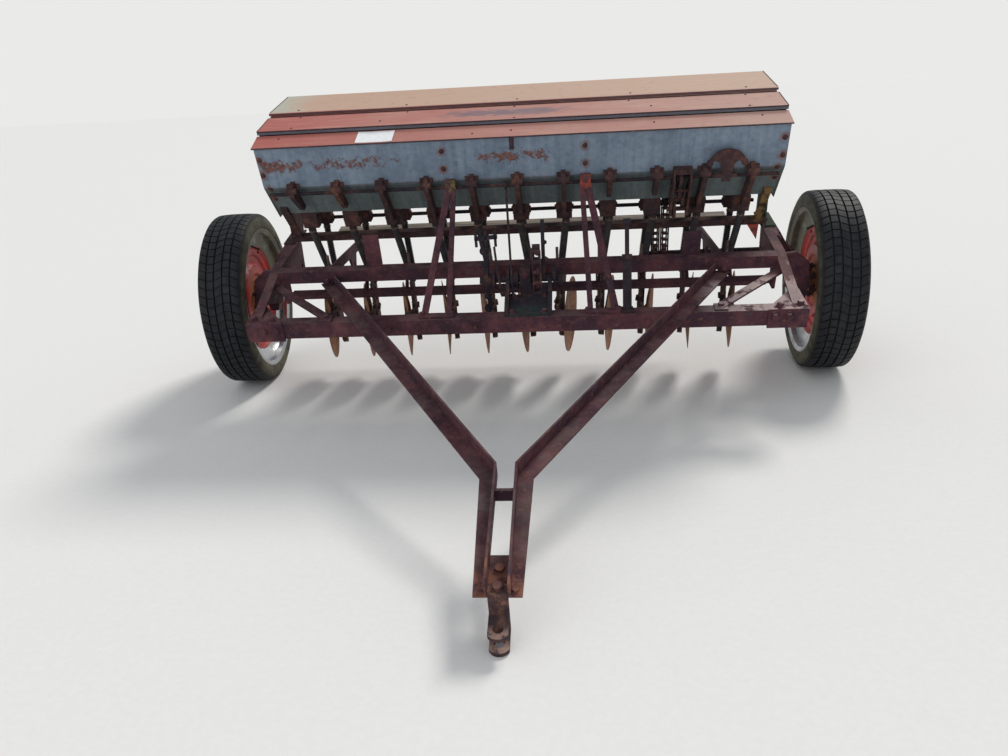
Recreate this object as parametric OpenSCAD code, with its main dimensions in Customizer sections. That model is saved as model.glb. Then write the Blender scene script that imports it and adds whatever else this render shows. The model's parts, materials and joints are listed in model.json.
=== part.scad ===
// Seed drill, pull type, one disc opener to a row, standing on its two wheels and its hitch clevis.
// Millimetres. X runs across the drill, -Y is the pulling direction, +Z is up.
// Every piece but the wheels is laid out level, then leaned nose down until the clevis meets the ground.

/* [Wheels] */
// Distance from the box's end to a tyre's centre plane
wheel_out = 301; // [290:1:320]
// Outer diameter of a tyre
tyre_d = 780; // [740:5:800]
// Width of a tyre at its widest
tyre_w = 200; // [180:5:220]
// Diameter of the bead seat of a rim
rim_d = 610; // [590:2:640]
// Angle by which the wheels' front edges turn toward the middle
toe = 3.8; // [0:0.1:5]

/* [Rows] */
// Distance between neighbouring rows
row_gap = 178; // [170:1:186]
// Diameter of an opener disc
disc_d = 340; // [300:5:344]
// Angle between an opener disc and the pulling direction
disc_angle = 10; // [4:1:12]

/* [Box] */
// Distance from the outer row to the box's end
end_room = 122; // [110:1:134]
// Thickness of the box's sheet metal
sheet_t = 3; // [2:0.5:3.5]

/* [Frame] */
// Leg height of the tongue's angle bars
tongue_h = 51; // [46:1:56]
// Flange width of the tongue's angle bars
tongue_w = 51; // [45:1:55]
// Thickness of the angle bars
bar_t = 6.4; // [5:0.2:8]
// Radius of the hitch pin's holes
pin_r = 13.5; // [10:0.5:15]

/* [Hidden] */
$fn = 48;

rows = 11;
mid_row = (rows - 1) / 2;
box_half = mid_row * row_gap + end_room;
half_track = box_half + wheel_out;
axle_z = tyre_d / 2;

// Frame bars: the front bar's outer face and top, the rear bar's front face and top, the side rails
front_y = -640;
frame_top = 600;
bar_h = 64;
flange_w = 51;
rear_y = -345;
rear_top = 677;
rear_back = rear_y + flange_w;
rail_x = box_half + 33;
rail_w = 38;
rail_in = rail_x - rail_w;
rail_rise = (rear_top - frame_top) / (rear_back - front_y);
rail_end = 110;
cheek_t = 12;

// Tongue in its own sloping plane, with z = 0 on the front bar's top
tongue_slope = 1.2;
tongue_rear_x = row_gap * 4.3;
tongue_rear_y = rear_y - 0.5;
flange_end_y = rear_y + 20;
bend_x = 26;
bend_y = -1520;
tongue_end_y = -1950;
leg_run = [bend_x - tongue_rear_x, bend_y - tongue_rear_y];
run_len = norm(leg_run);
run_dir = -leg_run / run_len;
run_side = [run_dir[1], -run_dir[0]];
bend_side = (run_side + [1, 0]) / (1 + run_side[0]);

// Clevis: pin axis, tip and the two ears, in the tongue's plane
pin_y = -1998;
ear_r = 30;
ear_w = 50;
ear_t = 13;
ear_low = -120;
ear_gap = 41;
ear_top = ear_low + 2 * ear_t + ear_gap;
plate_t = 10;
plate_front = -1940;
plate_back = -1816;
strap_back = -1918;

// Lowest point of the clevis when level, and the lean that brings it to the ground
tip_run = pin_y - ear_r - front_y;
tip_y = front_y + tip_run * cos(tongue_slope) - ear_low * sin(tongue_slope);
tip_z = frame_top + tip_run * sin(tongue_slope) + ear_low * cos(tongue_slope);
tip_reach = norm([tip_y, tip_z - axle_z]);
lean = atan2(tip_z - axle_z, -tip_y) + asin(axle_z / tip_reach);

// Footboard behind the drill, and the shift that centres the part front to back
board_y = 400;
board_z = 515;
board_w = 55;
board_t = 30;
back_y = (board_y + board_w) * cos(lean) - (board_z - axle_z) * sin(lean);
nose_y = tip_y * cos(lean) - (tip_z - axle_z) * sin(lean);
mid_y = (back_y + nose_y) / 2;

// Box outline: front top, crease, front outlet, divider foot, rear outlet, rear crease, rear top
b_top = [-270, 1170];
b_crease = [-256, 1007];
b_out_a = [-159, 861];
b_out_b = [-99, 861];
b_ridge = [-18, 975];
b_out_c = [52, 880];
b_out_d = [107, 880];
b_back = [258, 1025];
b_rear = [264, 1226.5];
box_line = [b_top, b_crease, b_out_a, b_out_b, b_ridge, b_out_c, b_out_d, b_back, b_rear];
panel_up = (b_top - b_crease) / norm(b_top - b_crease);
panel_down = (b_out_a - b_crease) / norm(b_out_a - b_crease);
strip_rear = [-184, 1188];
lid_t = 4;
lid_over = 6;
step_t = 2;
rim_z = 1204.5;
cap_z = 1216.5;
hinge_mid = [-16, 1213];
hinge_mid_r = 4;
hinge_rear = [-2, 1226];
hinge_rear_r = 5;
mid_front = [-180, 1205];
rear_lip = [268, 1227];

// Feed: shafts in front of and behind the box's floor, the cups under its outlets, the tubes
feed_at = b_crease + [-6, -27];
feed_r = 7;
rear_feed = [80, 744];
rear_feed_r = 8;
cup_low = 787;
rear_cup_low = 722;
tube_r = 15;
tube_top_x = -8;
tube_foot_x = 24;
tube_foot = [-56, 480];
rear_foot = [-14, 486];
long_bracket = [0, 0, 1, 1, 1, 1, 1, 0, 0, 1, 1];

// Drive: the low shaft, the chain's mean radius on its wheels, its pitch and its two strands
jack_at = [60, 520];
jack_r = 10;
chain_r = 31;
chain_t = 8;
chain_links = 23;
strand_x = [row_gap * 3.25, row_gap * 3.475];

// Openers when raised: common pivot, disc centre, lift shaft
pivot = [-605, 556];
pivot_r = 8;
disc_at = [-88, 305];
stub_r = 10;
fit = 0.05;
shaft_at = [-200, 500];
shaft_s = 30;
shaft_end_r = 15;
rod_x = 35;
rod_foot = [-150, 411.5];
rod_top = [-128, 650];
rod_r = 6;
spring_r = 10;
arm_at = [-135, 575];
drawbar_x = 38;

// Power lift's cross shaft
gear_at = [-430, 655];
gear_r = 12;

// Spindle and hub, measured from the tyre's centre plane
spindle_r = 19;
hub_in = -75;
hub_out = 85;
arm_in = -163;
arm_out = -100;

rust = [0.30, 0.19, 0.17];
iron = [0.36, 0.25, 0.21];
steel = [0.5, 0.5, 0.52];
zinc = [0.55, 0.58, 0.60];
salmon = [0.72, 0.42, 0.34];
dark = [0.07, 0.07, 0.08];
red = [0.65, 0.12, 0.10];
silver = [0.78, 0.79, 0.8];

function row_x(k) = (k - mid_row) * row_gap;
function side_of(k) = row_x(k) > 1 ? -1 : 1;
function mitre(d) = [bend_x, bend_y] + d * bend_side;
function run_end(d, y) = mitre(d) + run_dir * ((y - mitre(d)[1]) / run_dir[1]);
function rail_z(y) = y < rear_back ? frame_top + (y - front_y) * rail_rise : rear_top;

// Leans a level piece about the axle line and centres it
module parked() {
  translate([0, -mid_y, axle_z])
    rotate([lean, 0, 0])
      translate([0, 0, -axle_z])
        children();
}

// Puts a piece, laid out about its own axle along X, at the right wheel
module at_wheel() {
  translate([half_track, -mid_y, axle_z])
    rotate([0, 0, -toe])
      children();
}

module in_tongue() {
  translate([0, front_y, frame_top])
    rotate([tongue_slope, 0, 0])
      translate([0, -front_y, 0])
        children();
}

module both_sides() {
  children();
  mirror([1, 0, 0]) children();
}

module only_side(s) {
  if (s > 0) children();
  else mirror([1, 0, 0]) children();
}

module block(x0, x1, y0, y1, z0, z1) {
  translate([x0, y0, z0]) cube([x1 - x0, y1 - y0, z1 - z0]);
}

// A YZ outline extruded across the drill from x0 to x1
module across(x0, x1) {
  translate([x0, 0, 0])
    rotate([90, 0, 90])
      linear_extrude(height = x1 - x0)
        children();
}

// An XZ outline extruded rearwards from y0 to y1
module along(y0, y1) {
  translate([0, y1, 0])
    rotate([90, 0, 0])
      linear_extrude(height = y1 - y0)
        children();
}

// A round bar between two points
module rod(a, b, r) {
  d = b - a;
  translate(a)
    rotate([0, acos(d[2] / norm(d)), atan2(d[1], d[0])])
      cylinder(r = r, h = norm(d));
}

// A round bar between two YZ points at x = 0
module rod_yz(a, b, r) {
  rod([0, a[0], a[1]], [0, b[0], b[1]], r);
}

// A flat bar from a to b, w wide on the level and t thick upwards
module strap(a, b, w, t) {
  d = b - a;
  translate(a)
    rotate([0, -asin(d[2] / norm(d)), atan2(d[1], d[0])])
      translate([0, -w / 2, 0]) cube([norm(d), w, t]);
}

// The outline of a flat bar in YZ between two points
module flat_yz(a, b, w) {
  d = b - a;
  n = [-d[1], d[0]] / norm(d) * w / 2;
  polygon([a + n, b + n, b - n, a - n]);
}

module round_x(x0, x1, at, r) {
  translate([x0, at[0], at[1]])
    rotate([0, 90, 0])
      cylinder(r = r, h = x1 - x0);
}

module front_bar() {
  color(rust) parked() {
    block(-rail_in, rail_in, front_y, front_y + bar_t, frame_top - bar_h, frame_top);
    block(-rail_in, rail_in, front_y, front_y + flange_w, frame_top - bar_t, frame_top);
  }
}

module rear_bar() {
  lug_x = tongue_rear_x + 18;
  lug_z = frame_top + (flange_end_y - front_y) * tan(tongue_slope) + bar_t + 0.4;
  plate_y = rear_back - 14;
  color(rust) parked() {
    block(-rail_in, rail_in, rear_y, rear_y + bar_t, rear_top - flange_w, rear_top);
    block(-rail_in, rail_in, rear_y, rear_back, rear_top - bar_t, rear_top);
    both_sides() block(lug_x, lug_x + 40, rear_y, flange_end_y, lug_z, rear_top - flange_w + 2);
    block(-row_gap * 3.58, -row_gap * 3.21, plate_y, plate_y + 6, rear_top - 2, 812);
    block(row_gap * 3.6, row_gap * 4, plate_y, plate_y + 6, rear_top - 2, 775);
  }
}

module rail() {
  rail_line = [[front_y + 1, rail_z(front_y + 1)], [rear_back, rear_top], [rail_end, rear_top]];
  across(rail_in, rail_x)
    polygon(concat(rail_line, [for (i = [2:-1:0]) rail_line[i] - [0, bar_t]]));
  across(rail_x - bar_t, rail_x)
    polygon(concat(rail_line, [for (i = [2:-1:0]) rail_line[i] - [0, flange_w]]));
}

// Casting over the corner of the front bar and the side rail
module corner_casting() {
  casting_in = rail_x - 130;
  casting_out = rail_x + 14;
  block(casting_in, casting_out, front_y - 7, front_y, frame_top - bar_h - 8, frame_top + 7);
  block(rail_x, casting_out, front_y - 7, front_y + 95, frame_top - bar_h - 8, frame_top + 7);
  translate([0, 0, frame_top])
    linear_extrude(height = 7)
      polygon([[casting_in, front_y - 7], [casting_out, front_y - 7], [casting_out, front_y + 150],
        [rail_x - 18, front_y + 150], [casting_in + 10, front_y + 20]]);
  across(rail_x - cheek_t, rail_x)
    polygon([[front_y + 1, 530], [front_y + 1, frame_top], [front_y + 110, 616], [front_y + 60, 535]]);
}

// Bracket that drops from the side rail and reaches out to carry the spindle
module axle_arm() {
  plate_out = rail_x + 14;
  across(rail_x, plate_out)
    polygon([[-150, rear_top], [rail_end, rear_top], [rail_end, 600], [90, 496], [30, 496], [-60, 560],
      [-150, 630]]);
  along(-46, 46)
    polygon([[rail_x + 1, 645], [rail_x + 1, 560], [half_track - 205, 470], [half_track + arm_in, 405],
      [half_track + arm_in + 18, 345], [half_track + arm_out - 10, 345], [half_track + arm_out, 400],
      [half_track + arm_out - 15, 505], [half_track - 178, 570], [half_track - 223, 645]]);
  along(-200, -184)
    polygon([[rail_x + 1, 645], [rail_x + 1, 560], [rail_x + 64, 518], [half_track - 165, 471],
      [half_track - 130, 398], [half_track - 118, 469], [half_track - 135, 575], [half_track - 190, 622],
      [half_track - 241, 615]]);
  across(half_track - 172, half_track - 150)
    polygon([[-190, 575], [-190, 455], [-40, 380], [-40, 540]]);
}

module side_frame() {
  rail();
  corner_casting();
  axle_arm();
  across(rail_x - cheek_t, rail_x)
    polygon([[-245, rear_top], [-155, rear_top], shaft_at + [28, -28], shaft_at - [28, 28]]);
  strap([735, front_y + 20, frame_top + 2], [rail_x - 18, -358, 622], 36, 8);
  block(724, 772, front_y + 4, front_y + flange_w, frame_top, frame_top + 8);
}

module side_frames() {
  color(rust) difference() {
    parked()
      both_sides()
        difference() {
          side_frame();
          round_x(rail_x - 60, rail_x + 40, pivot, pivot_r);
          round_x(rail_x - 60, rail_x + 40, shaft_at, shaft_end_r + fit);
          round_x(rail_x - 60, rail_x + 40, jack_at, jack_r + fit);
        }
    both_sides() at_wheel() spindle_bar(arm_in - 60, 0);
  }
}

module spindle_bar(x0, x1) {
  round_x(x0, x1, [0, 0], spindle_r);
}

module opener_pivot() {
  color(rust) parked() {
    round_x(-rail_x, rail_x, pivot, pivot_r);
    for (k = [0, 2, 3, 4, 5, 6, 7, 8, 9, 11])
      translate([row_x(k) - row_gap / 2, 0, 0])
        across(-4, 4)
          polygon([[front_y + bar_t, 540], [front_y + bar_t, frame_top - bar_t], [pivot[0] + 15,
              frame_top - bar_t],
            [pivot[0] + 15, 545], [pivot[0] + 2, 540]]);
  }
}

// A leg's plan between offsets d0 and d1 from its inner face, d_end wide at its front end
module tongue_strip(d0, d1, d_end, y) {
  e = [bend_x, tongue_end_y];
  polygon([run_end(d0, y), mitre(d0), e + [d0, 0], e + [d_end, 0], mitre(d1), run_end(d1, y)]);
}

module tongue_bar() {
  in_tongue() {
    linear_extrude(height = tongue_h) tongue_strip(0, bar_t, bar_t, tongue_rear_y);
    linear_extrude(height = bar_t) tongue_strip(0, tongue_w, tongue_w * 0.67, flange_end_y);
  }
}

module tongue_bars() {
  color(rust) parked() both_sides() tongue_bar();
}

module tongue_plates() {
  color(rust) parked() in_tongue() {
    block(-bend_x, bend_x, -1628, -1618, 6, 44);
    block(-bend_x - 30, bend_x + 30, plate_front, plate_back, -plate_t, 0);
    translate([0, plate_back - 46, 0]) cylinder(r = 12, h = 9);
    translate([0, strap_back - 13, ear_t]) cylinder(r = 12, h = 10);
    for (s = [-1, 1])
      translate([s * (bend_x + tongue_w * 0.33), tongue_end_y + 18, bar_t]) cylinder(r = 9, h = 8);
  }
}

module hitch_clevis() {
  back = pin_y + 48;
  color(iron) parked() in_tongue() {
    difference() {
      intersection() {
        across(-ear_w / 2, ear_w / 2)
          polygon([[strap_back, 0], [strap_back, ear_t], [plate_front - 8, ear_t], [back - 2, ear_top],
            [pin_y - ear_r, ear_top], [pin_y - ear_r, ear_top - ear_t], [back - 8, ear_top - ear_t],
            [back - 8, ear_low + ear_t], [pin_y - ear_r, ear_low + ear_t], [pin_y - ear_r, ear_low],
            [back + 4, ear_low], [back + 8, ear_top - ear_t], [plate_front, -plate_t], [plate_front, 0]]);
        translate([0, 0, -200]) union() {
          translate([-ear_w / 2, pin_y + 5, 0]) cube([ear_w, 400, 300]);
          translate([0, pin_y, 0]) cylinder(r = ear_r, h = 300);
        }
      }
      translate([0, pin_y, ear_low - 20]) cylinder(r = pin_r, h = 200);
    }
  }
}

module spindles() {
  color(steel) both_sides() at_wheel() {
    spindle_bar(arm_in, hub_out + 15);
    round_x(hub_in - 12, hub_in - 1, [0, 0], spindle_r + 9);
    translate([hub_out + 1, 0, 0]) rotate([0, 90, 0]) cylinder(r = spindle_r + 10, h = 14, $fn = 6);
  }
}

// A ring turned about the wheel's axis from an outline of [radius, x] points
module turned() {
  rotate([0, 90, 0])
    rotate_extrude($fn = 96)
      children();
}

module tyre() {
  r = tyre_d / 2;
  s = rim_d / 2;
  h = tyre_w / 2;
  wall = r - s;
  low = s + wall * 0.447;
  wide = r - wall * 0.376;
  shoulder = r - wall * 0.188;
  edge = r - wall * 0.047;
  turned()
    polygon([[s, -h * 0.78], [s + 8, -h * 0.8], [s + 20, -h * 0.93], [low, -h * 0.99], [wide, -h],
      [shoulder, -h * 0.93], [edge, -h * 0.78], [r, -h * 0.42], [r, h * 0.42], [edge, h * 0.78],
      [shoulder, h * 0.93], [wide, h], [low, h * 0.99], [s + 20, h * 0.93], [s + 8, h * 0.8],
      [s, h * 0.78]]);
}

module rim() {
  s = rim_d / 2;
  h = tyre_w / 2 * 0.84;
  drop = s - 58;
  t = 5;
  turned()
    polygon([[s + 15, -h - 9], [s + 15, -h - 4], [s, -h], [s, -h + 24], [drop, -h + 38], [drop, 18],
        [s, h - 24],
      [s, h], [s + 15, h + 4], [s + 15, h + 9], [s + 9, h + 9], [s - t, h + 2], [s - t, h - 22],
      [drop - t, 20], [drop - t, -h + 35], [s - t, -h + 21], [s - t, -h - 2], [s + 9, -h - 9]]);
}

// Pressed disc between the rim's barrel and the hub, stepped in rings, its face toward the drill
module wheel_disc() {
  edge = rim_d / 2 - 63;
  difference() {
    turned()
      polygon([[edge, -46], [edge - 6, -46], [edge - 14, -36], [edge - 38, -36], [edge - 46, -26],
          [edge - 72, -26],
        [edge - 84, -44], [edge - 126, -44], [edge - 134, -36], [38, -36], [38, -30], [edge - 132, -30],
        [edge - 124, -38], [edge - 87, -38], [edge - 75, -20], [edge - 43, -20], [edge - 35, -30],
        [edge - 11, -30], [edge - 5, -37], [edge, -20]]);
    studs(-60, 0);
  }
}

module studs(x0, x1) {
  for (a = [0:5])
    rotate([a * 60, 0, 0]) round_x(x0, x1, [0, 64], 7);
}

module hub() {
  difference() {
    union() {
      round_x(hub_in, hub_out - 20, [0, 0], 38);
      round_x(hub_out - 20, hub_out, [0, 0], 33);
      round_x(-30, -16, [0, 0], 84);
      studs(-46, -20);
    }
    round_x(hub_in - 1, hub_out + 1, [0, 0], spindle_r + fit);
  }
}

module tyre_left() {
  color(dark) mirror([1, 0, 0]) at_wheel() tyre();
}

module tyre_right() {
  color(dark) at_wheel() tyre();
}

module rim_left() {
  color(silver) mirror([1, 0, 0]) at_wheel() rim();
}

module rim_right() {
  color(silver) at_wheel() rim();
}

module wheel_disc_left() {
  color(red) mirror([1, 0, 0]) at_wheel() wheel_disc();
}

module wheel_disc_right() {
  color(red) at_wheel() wheel_disc();
}

module hub_left() {
  color(iron) mirror([1, 0, 0]) at_wheel() hub();
}

module hub_right() {
  color(iron) at_wheel() hub();
}

// Sheet along points i0 to i1 of the box's outline, mitred where it meets the rest
module folded(i0, i1) {
  last = len(box_line) - 1;
  norms = [for (i = [0:last - 1]) let (d = box_line[i + 1] - box_line[i]) [-d[1], d[0]] / norm(d)];
  inner = [for (i = [0:last])
    i == 0 ? box_line[0] + norms[0] * sheet_t :
    i == last ? box_line[last] + norms[last - 1] * sheet_t :
    box_line[i] + (norms[i - 1] + norms[i]) / (1 + norms[i - 1] * norms[i]) * sheet_t];
  polygon(concat([for (i = [i0:i1]) box_line[i]], [for (i = [i1:-1:i0]) inner[i]]));
}

module box_sheet(i0, i1) {
  across(-box_half + sheet_t, box_half - sheet_t) folded(i0, i1);
}

module box_front() {
  color(zinc) parked() box_sheet(0, 2);
}

module box_floor() {
  color(zinc) parked() {
    box_sheet(2, 6);
    block(-box_half + sheet_t, box_half - sheet_t, b_ridge[0] - sheet_t / 2, b_ridge[0] + sheet_t / 2,
      b_ridge[1], rim_z);
  }
}

module box_back() {
  color(zinc) parked() box_sheet(6, 8);
}

module box_ends() {
  color(zinc) parked()
    both_sides()
      across(box_half - sheet_t, box_half)
        polygon([b_top, b_crease, b_out_a - [0, 14], b_out_b - [0, 14], b_out_d - [0, 20], b_back, b_rear,
          [hinge_rear[0] + 8, b_rear[1]], [hinge_rear[0] + 8, cap_z], [hinge_mid[0] + 7.5, cap_z],
          [hinge_mid[0] + 7.5, rim_z], [strip_rear[0] + 7, rim_z], [strip_rear[0] + 7, strip_rear[1]],
              strip_rear]);
}

module top_strip() {
  slope = (strip_rear - b_top) / norm(strip_rear - b_top);
  up = [-slope[1], slope[0]] * lid_t;
  web_y = hinge_mid[0] + 5.5;
  color(salmon) parked() {
    across(-box_half - lid_over, box_half + lid_over)
      polygon([b_top - slope * 8, strip_rear, strip_rear + up, b_top - slope * 8 + up]);
    across(-box_half, box_half)
      polygon([[hinge_mid[0] - 8, rim_z], [web_y + step_t, rim_z], [web_y + step_t, cap_z],
        [hinge_rear[0] + 8, cap_z], [hinge_rear[0] + 8, cap_z + lid_t], [web_y, cap_z + lid_t],
        [web_y, rim_z + lid_t], [hinge_mid[0] - 8, rim_z + lid_t]]);
  }
}

module middle_lid() {
  color(salmon) parked() {
    across(-box_half - lid_over, box_half + lid_over)
      polygon([mid_front, mid_front - [0, 10.5], mid_front + [step_t, -10.5], mid_front + [step_t,
          0.1], hinge_mid,
        hinge_mid + [0, lid_t], mid_front + [0, lid_t]]);
    round_x(-box_half - lid_over, box_half + lid_over, hinge_mid, hinge_mid_r);
  }
}

module rear_lid() {
  color(salmon) parked() {
    across(-box_half - lid_over, box_half + lid_over)
      polygon([[hinge_rear[0], rear_lip[1]], rear_lip, rear_lip - [0, 20], rear_lip + [lid_t, -20],
        rear_lip + [lid_t, lid_t], [hinge_rear[0], rear_lip[1] + lid_t]]);
    round_x(-box_half - lid_over, box_half + lid_over, hinge_rear, hinge_rear_r);
  }
}

// Stands under the box: end plates, a cross angle between them, straps up to the front panel
module box_stands() {
  beam_y = -75;
  beam_z = 722;
  post = b_crease + 0.72 * (b_out_a - b_crease);
  color(iron) parked()
    both_sides() {
      across(box_half, box_half + 8)
        polygon([[-60, rear_top], [80, rear_top], [95, 700], [90, 960], [-40, 960]]);
      block(box_half, rail_x + 18, -60, 80, rear_top, rear_top + 8);
      block(-1, box_half + 1, beam_y, beam_y + 40, beam_z - 8, beam_z);
      block(-1, box_half + 1, beam_y, beam_y + 8, beam_z - 26, beam_z);
      across(box_half - 50, box_half - 20)
        polygon([post, post + panel_down * 30, [beam_y + 8, beam_z - 2], [beam_y, beam_z - 8],
          post + [-8, -12]]);
    }
}

module box_braces() {
  head = b_crease + [-27, -22];
  foot_y = front_y + 28;
  color(rust) parked()
    both_sides() {
      strap([361, foot_y, frame_top + 5], [266, head[0], head[1]], 26, 7);
      strap([268, foot_y, frame_top + 5], [248, head[0], head[1]], 20, 6);
      across(242, 282)
        before_lug(head);
      block(250, 380, foot_y - 18, foot_y + 12, frame_top, frame_top + 9);
    }
}

module before_lug(head) {
  polygon([b_crease + panel_up * 6, b_crease + [-28, 0], head + [-9, -10], head + [3, -10],
      b_crease + [-16, -9],
    b_crease]);
}

module bracket(long) {
  nose = b_crease + [-47, -7];
  foot = b_out_a + [4, -61];
  stop = b_crease + panel_down * 130;
  difference() {
    union() {
      across(-9, 9)
        polygon(concat([b_crease, b_crease + panel_up * 23, b_crease + [-28, 13], nose, nose + [5, -22]],
          long ? [b_crease + [-20, -57], b_out_a + [-46, -8], foot - [23, 0], foot, foot + [0, 61], b_out_a]
               : [b_crease + [-24, -52], stop + [-31, -4], stop]));
      round_x(-15, 15, nose + [14, 0], 13);
      across(-26, 26)
        polygon([b_crease, b_crease + panel_up * 14, b_crease + [-10, 12], b_crease + [-14, -2]]);
      if (long) round_x(-18, 18, foot + [-17, 18], 12);
    }
    round_x(-30, 30, feed_at, feed_r + fit);
  }
}

module hanger_brackets() {
  color(iron) parked()
    for (k = [0:rows - 1])
      translate([row_x(k), 0, 0]) bracket(long_bracket[k] == 1);
}

module feed_shaft() {
  color(steel) parked() {
    round_x(-box_half + 20, box_half - 20, feed_at, feed_r);
    round_x(-box_half + 20, box_half - 20, rear_feed, rear_feed_r);
    round_x(row_gap * 3.42, row_gap * 3.5, feed_at, 17);
    round_x(row_gap * 3, rail_x + 40, jack_at, jack_r);
    round_x(rail_x + 16, rail_x + 30, jack_at, jack_r + 3);
    for (x = strand_x) {
      round_x(x - 4, x + 4, rear_feed, chain_r - chain_t / 2 - 0.1);
      round_x(x - 4, x + 4, jack_at, chain_r - chain_t / 2 - 0.1);
    }
  }
}

module feed_cups() {
  front = [b_out_a[0] + 4, b_out_b[0] - 4];
  rear = [b_out_c[0] + 4, b_out_d[0] - 4];
  color(iron) parked()
    for (k = [0:rows - 1])
      translate([row_x(k), 0, 0]) {
        across(-32, 32)
          polygon([[front[0], b_out_a[1]], [front[1], b_out_b[1]], [front[1], cup_low + 28],
            [front[1] - 10, cup_low], [front[0] + 8, cup_low], [front[0], cup_low + 28]]);
        difference() {
          across(-26, 26)
            polygon([[rear[0], b_out_c[1]], [rear[1], b_out_d[1]], [rear[1], b_out_d[1] - 40],
              [rear_feed[0] + 20, rear_cup_low], [rear_feed[0] - 20, rear_cup_low], [rear[0],
                  b_out_c[1] - 40]]);
          round_x(-27, 27, rear_feed, rear_feed_r + fit);
        }
      }
}

// A tube from under a cup down and in to its boot
module seed_tube(top, foot) {
  a = [tube_top_x, top[0], top[1]];
  b = [tube_foot_x, foot[0], foot[1]];
  d = (b - a) / norm(b - a);
  rod(a - [0, 0, tube_r * sqrt(1 - d[2] * d[2]) + 0.2], b, tube_r);
}

module seed_tubes() {
  color(dark) parked()
    for (k = [0:rows - 1])
      translate([row_x(k), 0, 0])
        only_side(side_of(k)) {
          seed_tube([(b_out_a[0] + b_out_b[0]) / 2, cup_low], tube_foot);
          seed_tube([rear_feed[0], rear_cup_low], rear_foot);
        }
}

// Cast quadrant shaped like a mushroom, standing on the crease of the box's front
module rate_quadrant() {
  tilt = atan2(panel_up[0], panel_up[1]);
  stand_off = 17;
  raised = 8;
  cap_r = 76;
  color(iron) parked()
    translate([row_gap * 4.45, b_crease[0] - 0.05, b_crease[1]])
      rotate([90 - tilt, 0, 0])
        translate([0, raised, stand_off]) {
          linear_extrude(height = 12) {
            difference() {
              circle(r = cap_r);
              translate([-cap_r - 1, -cap_r - 1]) square([2 * cap_r + 2, cap_r + 21]);
              for (s = [-1, 1])
                translate([s * 46, 10]) circle(r = 22);
            }
            for (s = [-1, 1])
              translate([s * (cap_r - 12), 24]) circle(r = 12);
            polygon([[-28, 45], [28, 45], [24, 10], [15, -30], [15, -50], [-15, -50], [-15, -30], [-24,
                10]]);
            translate([-54, -34]) square([92, 16]);
          }
          translate([0, 40, -stand_off]) cylinder(r = 15, h = stand_off + 1);
        }
}

module lift_shaft() {
  color(rust) parked() {
    translate([0, shaft_at[0], shaft_at[1]])
      rotate([34, 0, 0]) cube([2 * (rail_x - cheek_t) - 40, shaft_s, shaft_s], center = true);
    round_x(-rail_x, rail_x, shaft_at, shaft_end_r);
    for (k = [0:rows - 1])
      translate([row_x(k) + rod_x * side_of(k), 0, 0])
        for (s = [-1, 1])
          across(s * 12 - 3, s * 12 + 3)
            polygon([shaft_at + [-10, 28], shaft_at + [22, -20], arm_at + [17, 2], arm_at + [4, 20]]);
  }
}

// One opener on the drill's left half: a drawbar and the boot beside the disc
module opener() {
  x0 = 13;
  difference() {
    union() {
      translate([drawbar_x, 0, 0]) {
        across(-5, 5) flat_yz(pivot, [-165, 386], 26);
        round_x(-12, 12, pivot, 16);
      }
      turned_in() {
        across(x0, x0 + 22)
          polygon([[-190, 400], [-180, 372], [-120, 330], [-100, 200], [-60, 170], [-50, 190], [-56, 300],
            [-40, 380], [10, 470], [-84, 470], [-92, 410], [-150, 410]]);
        round_x(x0 - 1, x0 + 22, disc_at, 26);
        round_x(-20, x0, disc_at, stub_r);
        round_x(-30, -19, disc_at, 17);
      }
    }
    round_x(0, drawbar_x + 30, pivot, pivot_r + fit);
  }
}

// Turns a piece of the left half's openers to the disc's angle about the disc's centre
module turned_in() {
  translate([0, disc_at[0], 0])
    rotate([0, 0, disc_angle])
      translate([0, -disc_at[0], 0])
        children();
}

module openers() {
  color(iron) parked()
    for (k = [0:rows - 1])
      translate([row_x(k), 0, 0])
        only_side(side_of(k)) opener();
}

module pressure_rods() {
  color(steel) parked()
    for (k = [0:rows - 1])
      translate([row_x(k) + rod_x * side_of(k), 0, 0])
        rod_yz(rod_foot, rod_top, rod_r);
}

module springs() {
  d = (rod_top - rod_foot) / norm(rod_top - rod_foot);
  color(steel) parked()
    for (k = [0:rows - 1])
      translate([row_x(k) + rod_x * side_of(k), 0, 0])
        difference() {
          rod_yz(rod_foot + 10 * d, rod_foot + 100 * d, spring_r);
          rod_yz(rod_foot, rod_foot + 110 * d, rod_r);
        }
}

module opener_disc() {
  r = disc_d / 2;
  translate([0, disc_at[0], disc_at[1]])
    rotate([0, 90, 0])
      rotate_extrude($fn = 64)
        polygon([[stub_r + fit, -17], [24, -17], [30, -4], [70, -4], [r, -20], [r, -17], [70, 0], [34, 0],
          [30, 7], [stub_r + fit, 7]]);
}

module placed_disc(k) {
  color(rust) parked()
    translate([row_x(k), 0, 0])
      only_side(side_of(k))
        turned_in() opener_disc();
}

module disc_1() { placed_disc(0); }
module disc_2() { placed_disc(1); }
module disc_3() { placed_disc(2); }
module disc_4() { placed_disc(3); }
module disc_5() { placed_disc(4); }
module disc_6() { placed_disc(5); }
module disc_7() { placed_disc(6); }
module disc_8() { placed_disc(7); }
module disc_9() { placed_disc(8); }
module disc_10() { placed_disc(9); }
module disc_11() { placed_disc(10); }

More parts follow.
